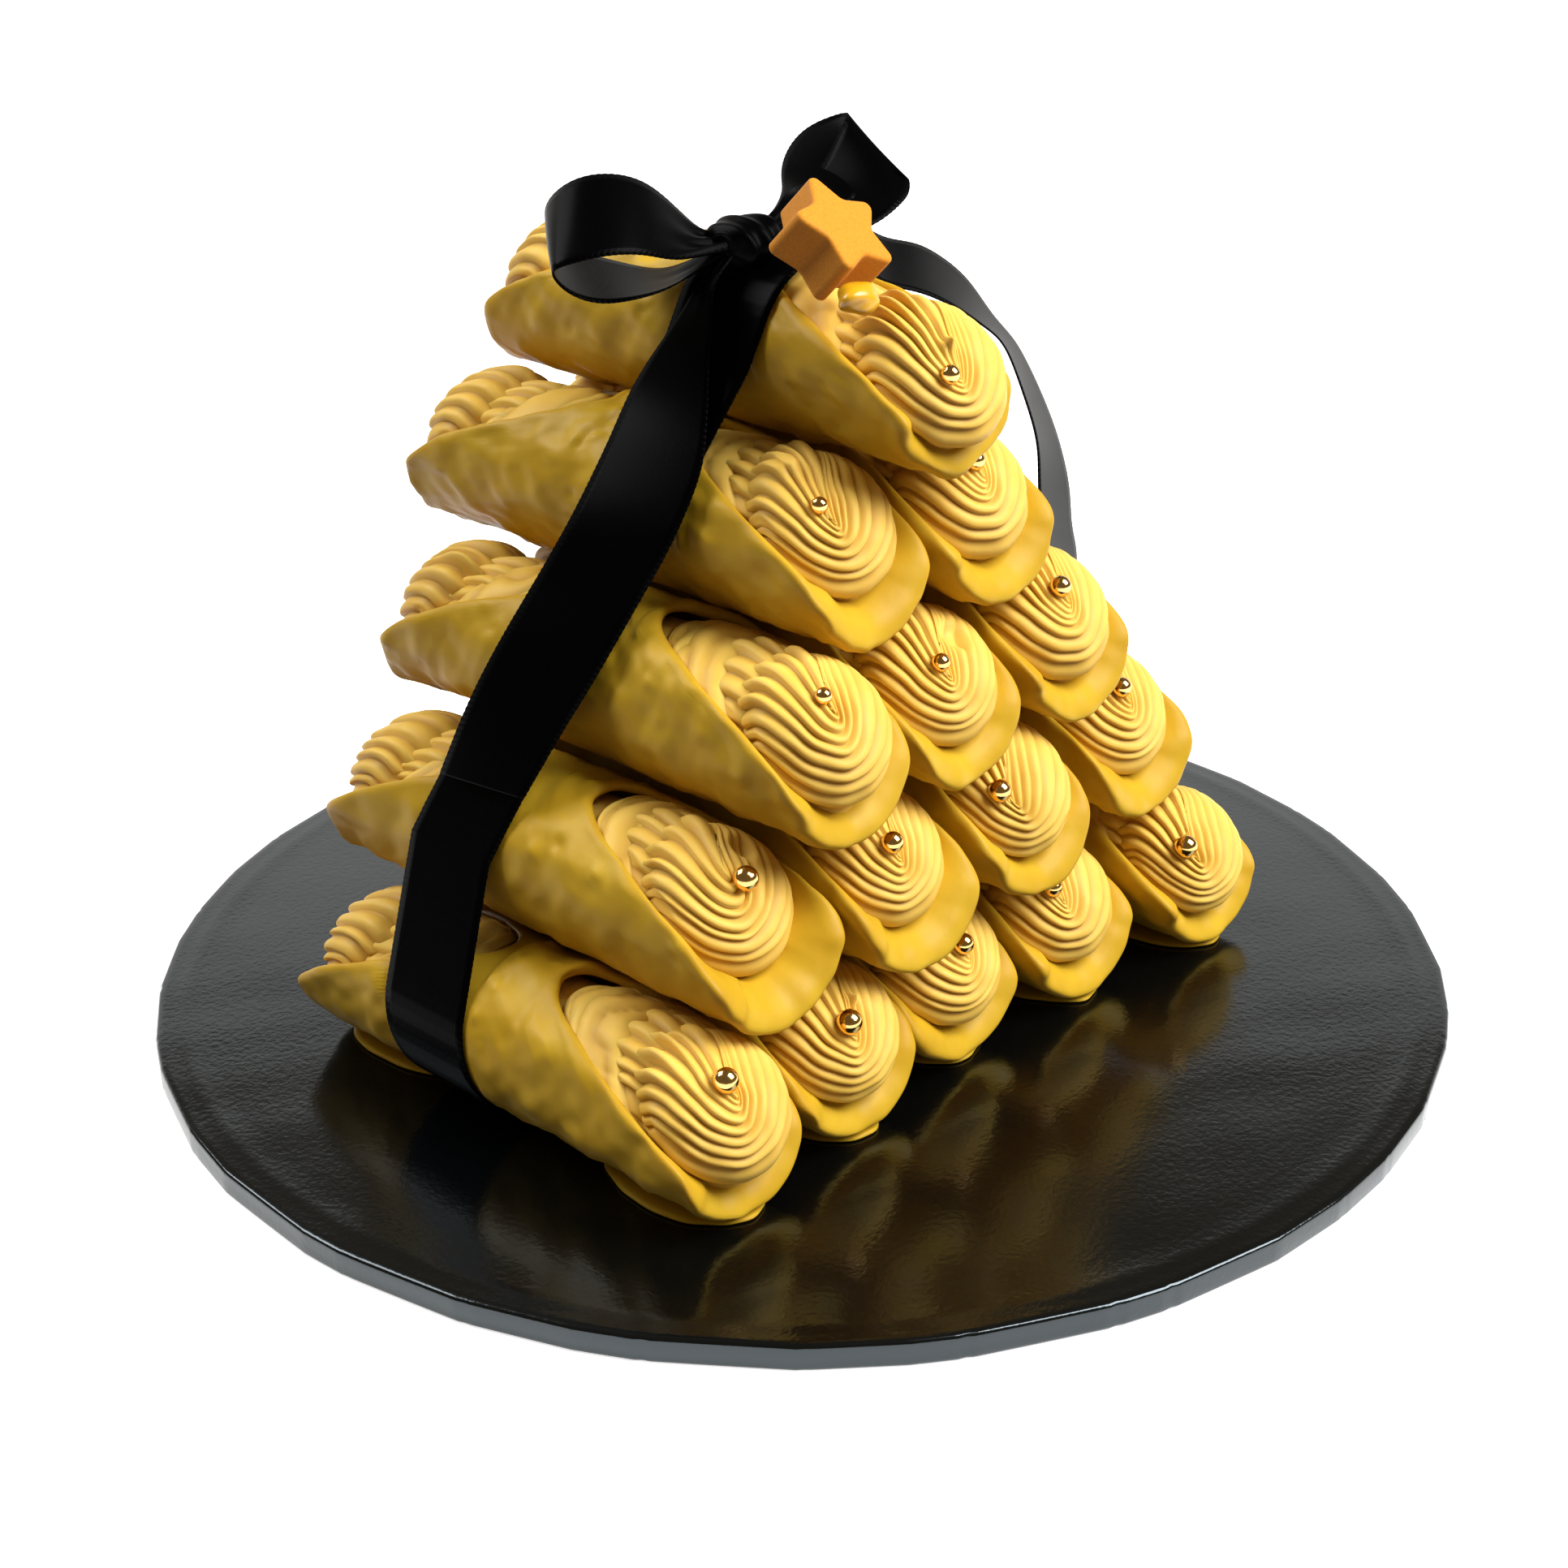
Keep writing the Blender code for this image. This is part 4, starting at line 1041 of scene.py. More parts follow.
def heap_rows(edge, tube, end, seed):
    """Rows from a swirl's rim to a ring just inside the wall, and painted shade in the hollows
    of their folds.

    The rim is first evened out, so that the swirl stands out from the heap. Broad folds then
    lie side by side with the rim, as an earlier streak of cream does.
    """
    turn = np.arctan2(edge[:, 0] - tube["x"], tube["z"] - edge[:, 2])
    wide, tall = (size + CREAM_MARGIN for size in inner_sizes(tube))
    floor = max(swirl_place(tube, end)[0] - HEAP_FLOOR_DROP, HEAP_FLOOR_LEAST)
    inward = floor + (HEAP_LENGTH - floor) * 0.5 * (1 - np.cos(turn))
    y = from_end(tube, end, inward)
    ring = np.stack([tube["x"] + wide * np.sin(turn), y, tube["z"] - tall * np.cos(turn)], -1)

    share = np.linspace(0, 1, HEAP_ROWS + 1)[1:, None]
    steps = range(-RIM_SOFTENING, RIM_SOFTENING + 1)
    evened = np.mean([np.roll(edge, step, 0) for step in steps], 0)
    path = evened + share[..., None] * (ring - evened)
    path = path + np.exp(-share / 0.05)[..., None] * (edge - evened)
    outward = np.stack([np.sin(turn), 0 * turn, -np.cos(turn)], -1)
    open_top = smooth(np.abs(turn), 1.5, 2.1)
    bend = HEAP_FOLD_BEND * waves(path, HEAP_FOLD_LENGTH, seed + 11)
    fold = np.abs(np.sin(math.pi * (HEAP_FOLDS * share + bend))) ** 0.6
    swell = HEAP_SWELL_MM * np.sin(math.pi * share) ** 0.8 + HEAP_FOLD_MM * (fold - 0.6)
    swell -= HEAP_DIP_MM * np.exp(-((share - 0.1) / 0.1) ** 2)
    hold = np.clip(share * 8, 0, 1) * np.clip((1 - share) * 6, 0, 1)
    path = path + (open_top * swell * MM * hold)[..., None] * outward
    # The second value is painted shade, darkest in the folds' hollows on the open top
    return path, (1 - fold) * open_top * hold


print("heap reaches", HEAP_LENGTH, "m into the tube")

# %% Swirl and heap in one closed surface
def closed_swirl(grid, groove_shade, tube, end, seed, behind=0.0):
    """A swirl in place with its heap behind it, closed at the core.

    The slit's two sides are one line of points, and the heap's rows start at the rim.
    """
    rows, columns = grid.shape[:2]
    number = np.arange(rows * columns).reshape(rows, columns)
    number[0, columns // 2 + 1:] = number[0, : columns // 2][::-1]
    rim = np.concatenate([number[:-1, 0], number[-1, :-1], number[:0:-1, -1]])
    swirl = in_tube(grid.reshape(-1, 3), tube, end, CREAM_MARGIN, behind)
    # A face on the slit may name a point twice, and keeps it once
    faces = [list(dict.fromkeys(face)) for face in quads_of(number).tolist()]

    # depth is the painted shade in the hollows of the heap's folds
    path, depth = heap_rows(swirl[rim], tube, end, seed)
    heap_number = len(swirl) + np.arange(path.shape[0] * path.shape[1]).reshape(path.shape[:2])
    rings = np.vstack([rim, heap_number])
    faces += quads_of(np.hstack([rings, rings[:, :1]])).tolist()
    faces.append(rings[-1].tolist())
    if end == "front":
        faces = [face[::-1] for face in faces]
    points = np.vstack([swirl, path.reshape(-1, 3)])
    return points, faces, np.concatenate([groove_shade.ravel(), depth.ravel()])


print("cream may come", CREAM_MARGIN, "m nearer to the wall than the core")

# %% Core
CORE_COLUMNS, CORE_ROWS = 64, 24
CORE_OVERLAP = 12.0 * MM
CORE_ROUNDING, CORE_END = 0.05, 0.02
CORE_RIPPLE, CORE_RIPPLE_LENGTH = 0.25 * MM, 9.0 * MM


def core_grid(tube):
    """The cream inside the wall: a closed oval tube between the two heaps."""
    angle = np.linspace(-math.pi, math.pi, CORE_COLUMNS, endpoint=False)[None, :]
    share = np.linspace(0, 1, CORE_ROWS)[:, None]
    inset = HEAP_LENGTH - CORE_OVERLAP
    y = tube["front"] + inset + share * (tube["length"] - 2 * inset) + 0.0 * angle
    wide, tall = inner_sizes(tube)
    ends = np.clip(np.minimum(share, 1 - share) / CORE_ROUNDING, CORE_END, 1.0) ** 0.5
    along = np.stack([0 * y, y, 0 * y], -1)
    ripple = CORE_RIPPLE * waves(along, CORE_RIPPLE_LENGTH, tube["seed"] + 12)
    return np.stack([
        tube["x"] + (wide + ripple) * ends * np.sin(angle),
        y,
        tube["z"] - (tall + ripple) * ends * np.cos(angle),
    ], axis=-1)


print("core:", CORE_ROWS, "rings of", CORE_COLUMNS, "points")

# %% Pearls
BALL_SPOKES, BALL_RINGS, BALL_POLE = 28, 16, 0.04
# How deep a pearl is sunk in the cream, as a share of its radius
PEARL_SINK = 0.4
# Across and up from the middle of the swirl's disc, and radius, in millimetres
PEARLS = {
    "B1": (-3.4, 3.0, 2.7), "B2": (-4.2, -1.6, 2.8), "B3": (-1.6, -1.4, 2.4),
    "B4": (-7.8, 0.8, 2.3), "B5": (-9.4, -0.6, 2.8), "A1": (-1.4, -0.4, 2.7),
    "A2": (-4.6, -1.4, 2.4), "A3": (-10.8, -1.8, 2.6), "A4": (-4.0, 1.0, 2.4),
    "C1": (-4.4, 3.4, 1.8), "C2": (-6.0, -1.2, 2.0), "C3": (-4.0, 1.0, 2.4),
    "D1": (-8.2, 0.8, 1.8), "D2": (-4.0, 1.0, 2.2), "E1": (-7.4, -5.0, 2.0),
}


def unit_ball(spokes, rings, pole):
    """A ball of radius 1: rings from pole to pole, the first one a small angle off it."""
    turn = np.linspace(0, 2 * math.pi, spokes, endpoint=False)[None, :]
    fall = np.linspace(pole, math.pi - pole, rings)[:, None]
    return np.stack([
        np.sin(fall) * np.cos(turn),
        np.sin(fall) * np.sin(turn),
        np.cos(fall) + 0 * turn,
    ], axis=-1)


def pearl_grid(tube):
    """A ball that stands on the swirl's dome at the pearl's place, sunk in a little."""
    across, upward, radius = np.array(PEARLS[tube["name"]]) * MM
    out = dome(across, upward) + radius * (1 - PEARL_SINK)
    centre = in_tube(np.array([across, upward, out]), tube, "front")
    return centre + radius * unit_ball(BALL_SPOKES, BALL_RINGS, BALL_POLE)


print("pearls:", len(PEARLS), "up to", 2 * max(pearl[2] for pearl in PEARLS.values()), "mm wide")

# %% Peaks, gouges and poles of the swirls
# From each pearl to the pole of its swirl's lines: across and up, in millimetres
POLE_FROM_PEARL = {"A1": (-2.6, 3.2), "E1": (2.0, -1.0)}
USUAL_POLE = (0.3, -3.2)
# Peaks and gouges on a swirl: across, up, radius and height, in millimetres
MARKS = {
    "A1": ((4.5, 6.0, 2.6, -1.6),),
    "B2": ((0.5, 2.0, 1.3, 3.0),),
    "C2": ((3.0, 3.0, 3.2, -2.4),),
    "D1": ((-6.0, 11.5, 2.2, 7.5),),
    "E1": ((-4.0, 0.5, 1.3, 4.0),),
}
FRONT_RIDGES, BACK_RIDGES = 9, 7
RIDGE_RELIEF = 1.1 * MM
SWIRL_COLUMNS = 72
BACK_POLE = (2.0 * MM, 1.0 * MM)
FRONT_TIP, BACK_TIP, STREAK_TIP = 3.0 * MM, 4.0 * MM, 1.5 * MM
# How far an earlier streak of cream lies behind the swirl that covers it
FRONT_STREAK, BACK_STREAK = 11.0 * MM, 13.0 * MM
print("swirls with a peak or a gouge:", *MARKS)


# %% Build the fillings
def filling_islands(tube):
    """Both swirls, the streak behind each, the core and, last, the pearl."""
    name = tube["name"]
    to_pole = POLE_FROM_PEARL.get(name, USUAL_POLE)
    front_pole = (np.array(PEARLS[name][:2]) + to_pole) * MM
    islands = []
    for end, behind, ridges, pole, tip, marks in (
        ("front", 0.0, FRONT_RIDGES, front_pole, FRONT_TIP, MARKS.get(name, ())),
        ("back", 0.0, BACK_RIDGES, BACK_POLE, BACK_TIP, ()),
        ("front", FRONT_STREAK, BACK_RIDGES, BACK_POLE, STREAK_TIP, ()),
        ("back", BACK_STREAK, BACK_RIDGES, BACK_POLE, STREAK_TIP, ()),
    ):
        seed = tube["seed"] + len(end) + round(behind / MM)
        grid, groove_shade = swirl_grid(ridges, SWIRL_COLUMNS, pole, seed, RIDGE_RELIEF, tip, marks)
        islands.append(closed_swirl(grid, groove_shade, tube, end, seed, behind))
    return islands + [island(core_grid(tube)), island(pearl_grid(tube), flip=True)]


for name, tube in TUBES.items():
    # depth carries the painted shade of the grooves and folds to the cream's material
    points, faces, depth, owners = join_islands(filling_islands(tube))
    gilded = owners == owners.max()
    filling = mesh_piece("cream_filling_" + name, points, faces, [cream, gold],
                         {"groove_shade": depth}, gilded)
    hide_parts("filling_" + name)
print("one filling:", len(faces), "faces")

# %% [markdown]
# ## The star
#
# A thick moulded sugar star, dusted with orange powder, leans back on the top cannolo, stuck
# down with a dab of yellow icing. A bevel modifier would round all its edges alike, but a
# mould makes the tips, the waists and the faces' edges each of their own roundness. So its
# outline is ten corners joined by arcs, and the same outline, drawn in step by step, makes the
# rounded edges and the two faces.

# %% Star and icing finishes
# Moulded sugar dusted with orange powder: dry and matte, with a fine grain.
DUST_MM, ICING_MM = 0.5, 2.0
dust, tree, shader = new_material("dusted_orange_sugar", {
    "Roughness": 0.62,
    "Specular IOR Level": 0.25,
    "Sheen Weight": 0.08,
    "Sheen Roughness": 0.5,
})
tone = clouds(tree, DUST_MM, ("#d08212", "#df931c"), (0.3, 0.7))
tree.links.new(tone, shader.inputs["Base Color"])
roughen(tree, shader, DUST_MM, 3.0, 0.3, 0.08)

# Set royal icing: smooth, glossy and slightly clear.
icing, tree, shader = new_material("yellow_set_icing", {
    "Base Color": linear("#dca614"),
    "Roughness": 0.30,
    "Subsurface Weight": 0.3,
    "Subsurface Radius": (1.0, 0.7, 0.2),
    "Subsurface Scale": 0.002,
    "Coat Weight": 0.15,
    "Coat Roughness": 0.2,
})
roughen(tree, shader, ICING_MM, 2.0, 0.2, 0.2)
print("dust grain:", DUST_MM, "mm")

# %% Outline of the star
STAR_CENTRE = np.array([-22.4, -34.9, 191.2]) * MM
STAR_NORMAL = np.array([0.124, -0.673, 0.729])
STAR_TIP = 13.6 * MM
STAR_WAIST = 7.4 * MM
STAR_THICKNESS = 11.0 * MM
STAR_TURN = math.radians(81.8)
TIP_ROUND = 1.7 * MM
WAIST_ROUND = 2.4 * MM
STAR_EDGE = 0.9 * MM
ARC_STEPS = 7


def star_outline(inward):
    """Ten corners drawn in by a distance, each replaced by an arc tangent to its sides."""
    step = np.arange(10)
    radius = np.where(step % 2 == 0, STAR_TIP, STAR_WAIST)
    angle = STAR_TURN + step * math.pi / 5
    corner = radius[:, None] * np.stack([np.cos(angle), np.sin(angle)], axis=-1)
    before, after = np.roll(corner, 1, axis=0) - corner, np.roll(corner, -1, axis=0) - corner
    before /= np.linalg.norm(before, axis=1, keepdims=True)
    after /= np.linalg.norm(after, axis=1, keepdims=True)
    half_angle = np.arccos(np.clip((before * after).sum(1), -1, 1)) / 2
    middle = before + after
    middle /= np.linalg.norm(middle, axis=1, keepdims=True)
    tip = step % 2 == 0
    round_radius = np.where(tip, np.maximum(TIP_ROUND - inward, 0.05 * MM), WAIST_ROUND + inward)
    inset = np.where(tip, 1.0, -1.0) * inward / np.sin(half_angle)
    corner = corner + middle * inset[:, None]
    centre = corner + middle * (round_radius / np.sin(half_angle))[:, None]
    sweep = np.linspace(-1, 1, ARC_STEPS)[None, :] * (math.pi / 2 - half_angle)[:, None]
    facing = np.arctan2(-middle[:, 1], -middle[:, 0])[:, None]
    turned = facing + np.where(tip, 1.0, -1.0)[:, None] * sweep
    arcs = centre[:, None, :] + round_radius[:, None, None] * np.stack(
        [np.cos(turned), np.sin(turned)], axis=-1)
    return arcs.reshape(-1, 2)


print("outline:", len(star_outline(0.0)), "points")

# %% Star
EDGE_STEPS = 6
SIDE_STEPS = 12
# Rings inside each face, as shares of the face's own outline
FACE_SHRINKS = (0.02, 0.35, 0.7, 0.9, 0.97)
STAR_UNEVEN, STAR_UNEVEN_LENGTH = 0.02 * MM, 8.0 * MM


def star_rings():
    """The star from its face to its back: outlines with their levels below the face."""
    edge = [(STAR_EDGE * (1 - math.sin(bend)), -STAR_EDGE * (1 - math.cos(bend)))
            for bend in np.linspace(0, math.pi / 2, EDGE_STEPS)]
    levels = np.linspace(-STAR_EDGE, STAR_EDGE - STAR_THICKNESS, SIDE_STEPS)[1:]
    front = [(star_outline(inward), level) for inward, level in edge]
    side = [(star_outline(0.0), level) for level in levels]
    rear = [(star_outline(inward), -STAR_THICKNESS - level) for inward, level in edge[-2::-1]]
    face = [(front[0][0] * shrink, 0.0) for shrink in FACE_SHRINKS]
    underside = [(rear[-1][0] * shrink, -STAR_THICKNESS) for shrink in FACE_SHRINKS[::-1]]
    return face + front + side + rear + underside


out = STAR_NORMAL / np.linalg.norm(STAR_NORMAL)
star_across = np.cross([0.0, 0.0, 1.0], out)
star_across /= np.linalg.norm(star_across)
star_up = np.cross(out, star_across)
star_grid = np.array([
    STAR_CENTRE + outline[:, :1] * star_across + outline[:, 1:] * star_up + level * out
    for outline, level in star_rings()
])
star_grid += STAR_UNEVEN * waves(star_grid, STAR_UNEVEN_LENGTH, 21)[..., None] * out
faces = ring_faces(star_grid, flip=True)
star = mesh_piece("orange_star", star_grid, faces, [dust])
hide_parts("star")
print("star:", len(faces), "faces")

# %% [markdown]
# ## The dab
#
# The icing that holds the star was squeezed out of a bag, so it is a soft blob. Metaballs
# would do, but a ball with a smooth random field on it is closed and even all round.

# %% Dab of icing
DAB_SHIFT = np.array([-4.4, -1.6, -0.4]) * MM
DAB_GROWTH = 1.3
DAB_SPOKES, DAB_RINGS, DAB_POLE = 64, 40, 0.03
DAB_UNEVEN, DAB_UNEVEN_LENGTH = 0.12, 1.6
dab_low, dab_high = (np.array(corner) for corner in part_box("star_dab"))
blob = unit_ball(DAB_SPOKES, DAB_RINGS, DAB_POLE)
swollen = blob * (1 + DAB_UNEVEN * waves(blob, DAB_UNEVEN_LENGTH, 31)[..., None])
dab_half = DAB_GROWTH * (dab_high - dab_low) / 2
dab_grid = (dab_low + dab_high) / 2 + DAB_SHIFT + swollen * dab_half
faces = ring_faces(dab_grid, flip=True)
dab = mesh_piece("yellow_dab", dab_grid, faces, [icing])
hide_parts("star_dab")
print("dab:", len(faces), "faces")

# %% [markdown]
# ## The ribbon
#
# A 25 mm double-faced satin ribbon goes round the stack and is tied in a bow on top. A ribbon
# bends easily along its length and hardly at all across it, so a cloth simulation would spend
# minutes on what a rule gives: each piece is a strip carried along a smooth line, given as
# stations with a centre and a vector across the width. The woven edge has a row of tiny
# loops, which are drawn as scallops.

# %% Satin finish
# Polyester satin: long floats of filament lie along the ribbon, so the sheen is broad and
# soft. Threads of 0.25 mm are too fine to show, so the weave is drawn at 0.5 mm.
RIBBON_WIDTH = 25.0 * MM
PICOT_PITCH = 1.3 * MM
WEAVE_MM = 0.5
SELVEDGE_MM = (0.7, 1.1)
SELVEDGE_RELIEF = 3.0
WEAVE_DEPTH = 0.04 * MM
satin, tree, shader = new_material("black_woven_satin", {
    "Base Color": linear("#020203"),
    "Roughness": 0.32,
    "Specular IOR Level": 0.025,
})
cloth = add_node(tree, "ShaderNodeUVMap", {"uv_map": "cloth"})
apart = add_node(tree, "ShaderNodeSeparateXYZ", links={0: cloth.outputs[0]})
rib = add_node(tree, "ShaderNodeMath", {"operation": "MULTIPLY", 1: 2 * math.pi / WEAVE_MM},
               {0: apart.outputs["X"]})
thread = add_node(tree, "ShaderNodeMath", {"operation": "SINE"}, {0: rib.outputs[0]})
from_edge = add_node(tree, "ShaderNodeMath",
                     {"operation": "PINGPONG", 1: RIBBON_WIDTH / MM / 2},
                     {0: apart.outputs["X"]})
selvedge = add_node(tree, "ShaderNodeMapRange",
                    {1: SELVEDGE_MM[0], 2: SELVEDGE_MM[1], 3: 1.0, 4: 0.0},
                    {0: from_edge.outputs[0]})
dots = add_node(tree, "ShaderNodeMath",
                {"operation": "MULTIPLY", 1: 2 * math.pi / (PICOT_PITCH / MM)},
                {0: apart.outputs["Y"]})
stitch = add_node(tree, "ShaderNodeMath", {"operation": "SINE"}, {0: dots.outputs[0]})
edge_row = add_node(tree, "ShaderNodeMath", {"operation": "MULTIPLY"},
                    {0: stitch.outputs[0], 1: selvedge.outputs[0]})
relief = add_node(tree, "ShaderNodeMath", {"operation": "MULTIPLY_ADD", 1: SELVEDGE_RELIEF},
                  {0: edge_row.outputs[0], 2: thread.outputs[0]})
weave = add_node(tree, "ShaderNodeBump", {"Strength": 0.25, "Distance": WEAVE_DEPTH},
                 {"Height": relief.outputs[0]})
tree.links.new(weave.outputs[0], shader.inputs["Normal"])
print("ribbon:", RIBBON_WIDTH, "m wide, edge loops every", PICOT_PITCH, "m")


# %% Smooth line through stations
STRIP_STEP = 0.33 * MM
SOFTEN_LENGTH = 3.0 * MM
SOFTEN_PASSES = 2
CURVE_SAMPLES = 40


def soften(line, reach):
    """Moving average along a line of rows, run twice, with both end rows held."""
    for _ in range(SOFTEN_PASSES):
        before = 2 * line[:1] - line[reach:0:-1]
        after = 2 * line[-1:] - line[-2:-reach - 2:-1]
        padded = np.vstack([before, line, after])
        total = np.cumsum(np.vstack([0 * padded[:1], padded]), axis=0)
        line = (total[2 * reach + 1:] - total[:-2 * reach - 1]) / (2 * reach + 1)
    return line


def through(stations):
    """Smooth curve through rows of numbers, read at even steps of the first three.

    Each span is the cubic whose slope at a row is half the way from the row before to the
    row after.
    """
    rows = np.asarray(stations, float)
    padded = np.vstack([2 * rows[0] - rows[1], rows, 2 * rows[-1] - rows[-2]])
    share = np.linspace(0, 1, CURVE_SAMPLES, endpoint=False)[:, None]
    spans = [
        0.5 * (2 * b + (c - a) * share + (2 * a - 5 * b + 4 * c - d) * share ** 2
               + (3 * b - a - 3 * c + d) * share ** 3)
        for a, b, c, d in zip(padded, padded[1:], padded[2:], padded[3:])
    ]
    dense = np.vstack(spans + [rows[-1:]])
    hops = np.linalg.norm(np.diff(dense[:, :3], axis=0), axis=1)
    along = np.concatenate([[0.0], np.cumsum(hops)])
    places = np.linspace(0, along[-1], max(8, int(along[-1] / STRIP_STEP)))
    line = np.stack([np.interp(places, along, column) for column in dense.T], -1)
    return soften(line, round(SOFTEN_LENGTH / STRIP_STEP)), places


print("a strip has a row every", STRIP_STEP, "m")

# %% Strip along a line
RIBBON_THICKNESS = 0.35 * MM
STRIP_ACROSS = 13
PICOT_HEIGHT = 0.012
PLEATS_ACROSS = 2.5
PLEAT_START = 0.6
PLEAT_RUN = 9.0 * MM
WIDTH_SHARES = np.linspace(-0.5, 0.5, STRIP_ACROSS)


def flat_strip(centre, across, along):
    """Points across each row: even shares of the width, the outermost pushed out in loops."""
    loops = np.abs(np.sin(math.pi * along / PICOT_PITCH))[:, None] * (np.abs(WIDTH_SHARES) > 0.49)
    shares = WIDTH_SHARES * (1 + PICOT_HEIGHT * loops)
    return centre[:, None, :] + shares[..., None] * across[:, None, :]


def strip_mesh(name, middle, normal, along, closed=False):
    """Gives a strip both its faces, half a thickness off its middle, and its cloth map."""
    half = 0.5 * RIBBON_THICKNESS * normal[:, None, :]
    rings = np.concatenate([middle + half, (middle - half)[:, ::-1]], axis=1)
    across_mm = np.concatenate([WIDTH_SHARES, WIDTH_SHARES[::-1]]) * RIBBON_WIDTH / MM
    across_mm += RIBBON_WIDTH / MM / 2
    uv = np.stack(np.broadcast_arrays(across_mm[None, :], along[:, None] / MM), -1)
    piece = mesh_piece(name, rings, ring_faces(rings, closed), [satin], uv=uv)
    return piece


def strip_piece(name, stations, pleats, both_ends, curl):
    """A strip through stations, pleated by a cosine near its ends and bowed across."""
    rows = np.array([(*centre, *across) for centre, across in stations]) * MM
    line, along = through(rows)
    centre, across = line[:, :3], line[:, 3:]
    normal = np.cross(np.gradient(centre, axis=0), across)
    normal /= np.maximum(np.linalg.norm(normal, axis=1, keepdims=True), 1e-12)
    near = np.exp(-(along / PLEAT_RUN) ** 2)
    if both_ends:
        near = np.maximum(near, np.exp(-((along[-1] - along) / PLEAT_RUN) ** 2))
    wave = np.cos(2 * math.pi * PLEATS_ACROSS * WIDTH_SHARES + PLEAT_START)
    fold = pleats * MM * near[:, None] * wave
    bow = curl * MM * (1 - 4 * WIDTH_SHARES ** 2)
    middle = flat_strip(centre, across, along) + (fold + bow)[..., None] * normal[:, None, :]
    return strip_mesh(name, middle, normal, along), along[-1]


print("ribbon:", RIBBON_THICKNESS, "m thick")

# %% Stations of the bow
# Each station is a centre and a vector across the width, in millimetres
LEFT_LOOP = (
    ((-21.5, -3.0, 183.0), (-6.0, -7.0, -1.0)),
    ((-27.0, -0.5, 182.5), (-7.5, -7.5, -1.0)),
    ((-32.0, 1.5, 184.5), (-11.5, -10.0, -5.5)),
    ((-40.0, 4.0, 189.5), (-15.0, -13.0, -9.5)),
    ((-47.0, 7.5, 191.0), (-16.0, -14.0, -11.5)),
    ((-53.0, 11.5, 190.0), (-14.5, -14.5, -12.0)),
    ((-55.5, 15.5, 187.0), (-14.5, -17.0, -8.5)),
    ((-53.0, 18.0, 183.5), (-14.0, -18.0, -7.0)),
    ((-50.0, 18.5, 179.5), (-13.5, -19.0, -6.0)),
    ((-45.0, 16.0, 176.5), (-11.5, -19.0, -5.5)),
    ((-37.5, 10.5, 175.0), (-14.0, -17.0, -1.5)),
    ((-32.0, 6.5, 175.0), (-11.5, -13.5, 0.5)),
    ((-28.0, 2.0, 178.0), (-8.5, -10.0, 0.5)),
    ((-22.0, -2.0, 181.5), (-6.0, -7.0, 0.0)),
)
RIGHT_LOOP = (
    ((-16.5, -5.0, 183.5), (-4.5, -8.0, -1.5)),
    ((-12.0, -6.5, 184.0), (-5.0, -8.5, -2.0)),
    ((-4.5, -8.0, 185.5), (-5.5, -17.0, -6.5)),
    ((6.5, -8.0, 186.5), (-4.5, -23.0, -4.5)),
    ((13.0, -8.0, 190.0), (-2.5, -23.0, -6.0)),
    ((19.5, -6.5, 194.5), (-3.0, -20.5, -12.5)),
    ((22.5, -4.0, 196.0), (-5.0, -21.5, -9.5)),
    ((18.5, 2.0, 194.0), (-4.0, -23.5, -7.5)),
    ((12.0, 3.0, 190.5), (-5.5, -24.0, -6.5)),
    ((5.0, 0.5, 187.5), (-7.5, -23.0, -4.5)),
    ((-3.0, -3.5, 186.5), (-8.5, -16.0, -2.0)),
    ((-11.5, -5.5, 184.0), (-5.0, -8.0, -1.5)),
    ((-16.0, -5.0, 183.0), (-4.5, -7.5, -1.0)),
)
print("bow:", len(LEFT_LOOP), "and", len(RIGHT_LOOP), "stations")

# %% Stations of the tails
LEFT_TAIL = (
    ((-24.0, -4.5, 181.0), (-1.0, -4.5, 0.0)),
    ((-31.5, -5.0, 176.0), (0.0, -4.0, 0.0)),
    ((-34.0, -4.5, 169.5), (0.0, -9.0, 0.0)),
    ((-36.5, -3.0, 162.5), (0.0, -14.5, 0.0)),
    ((-40.5, -2.5, 153.5), (0.0, -22.0, 0.0)),
    ((-47.5, -4.5, 143.0), (2.5, -25.0, -0.5)),
    ((-56.5, -4.0, 130.0), (4.5, -24.5, -1.5)),
    ((-63.5, 0.0, 117.0), (4.5, -24.5, -2.0)),
    ((-72.0, 4.0, 103.0), (4.5, -24.5, -2.5)),
    ((-78.5, 8.0, 90.5), (4.0, -24.5, -1.0)),
    ((-85.5, 11.5, 76.5), (1.5, -25.0, 1.5)),
)
RIGHT_TAIL = (
    ((-15.5, -5.0, 182.5), (-4.0, -6.5, -1.0)),
    ((-9.5, -6.0, 182.5), (-5.0, -7.0, -1.0)),
    ((0.0, -7.5, 182.5), (-10.0, -9.5, -3.5)),
    ((8.5, -9.0, 178.5), (-11.0, -10.5, -5.0)),
    ((16.5, -11.0, 172.5), (-13.5, -12.5, -5.5)),
    ((22.0, -13.0, 171.0), (-16.0, -13.0, -5.0)),
    ((27.5, -15.0, 168.5), (-17.5, -14.5, -4.0)),
    ((34.0, -18.0, 163.5), (-20.5, -14.5, -0.5)),
    ((40.5, -21.0, 156.0), (-20.5, -14.0, 4.5)),
    ((45.5, -23.0, 150.5), (-20.5, -13.0, 6.0)),
    ((50.0, -26.0, 139.0), (-21.0, -11.5, 6.5)),
    ((54.0, -28.0, 127.0), (-21.5, -10.5, 6.5)),
    ((55.0, -29.5, 116.0), (-22.5, -8.5, 7.0)),
    ((56.5, -29.5, 106.0), (-22.5, -8.5, 7.0)),
    ((60.0, -29.0, 96.5), (-22.5, -8.5, 7.5)),
    ((60.0, -28.0, 85.0), (-22.0, -8.5, 8.0)),
)
print("tails:", len(LEFT_TAIL), "and", len(RIGHT_TAIL), "stations")

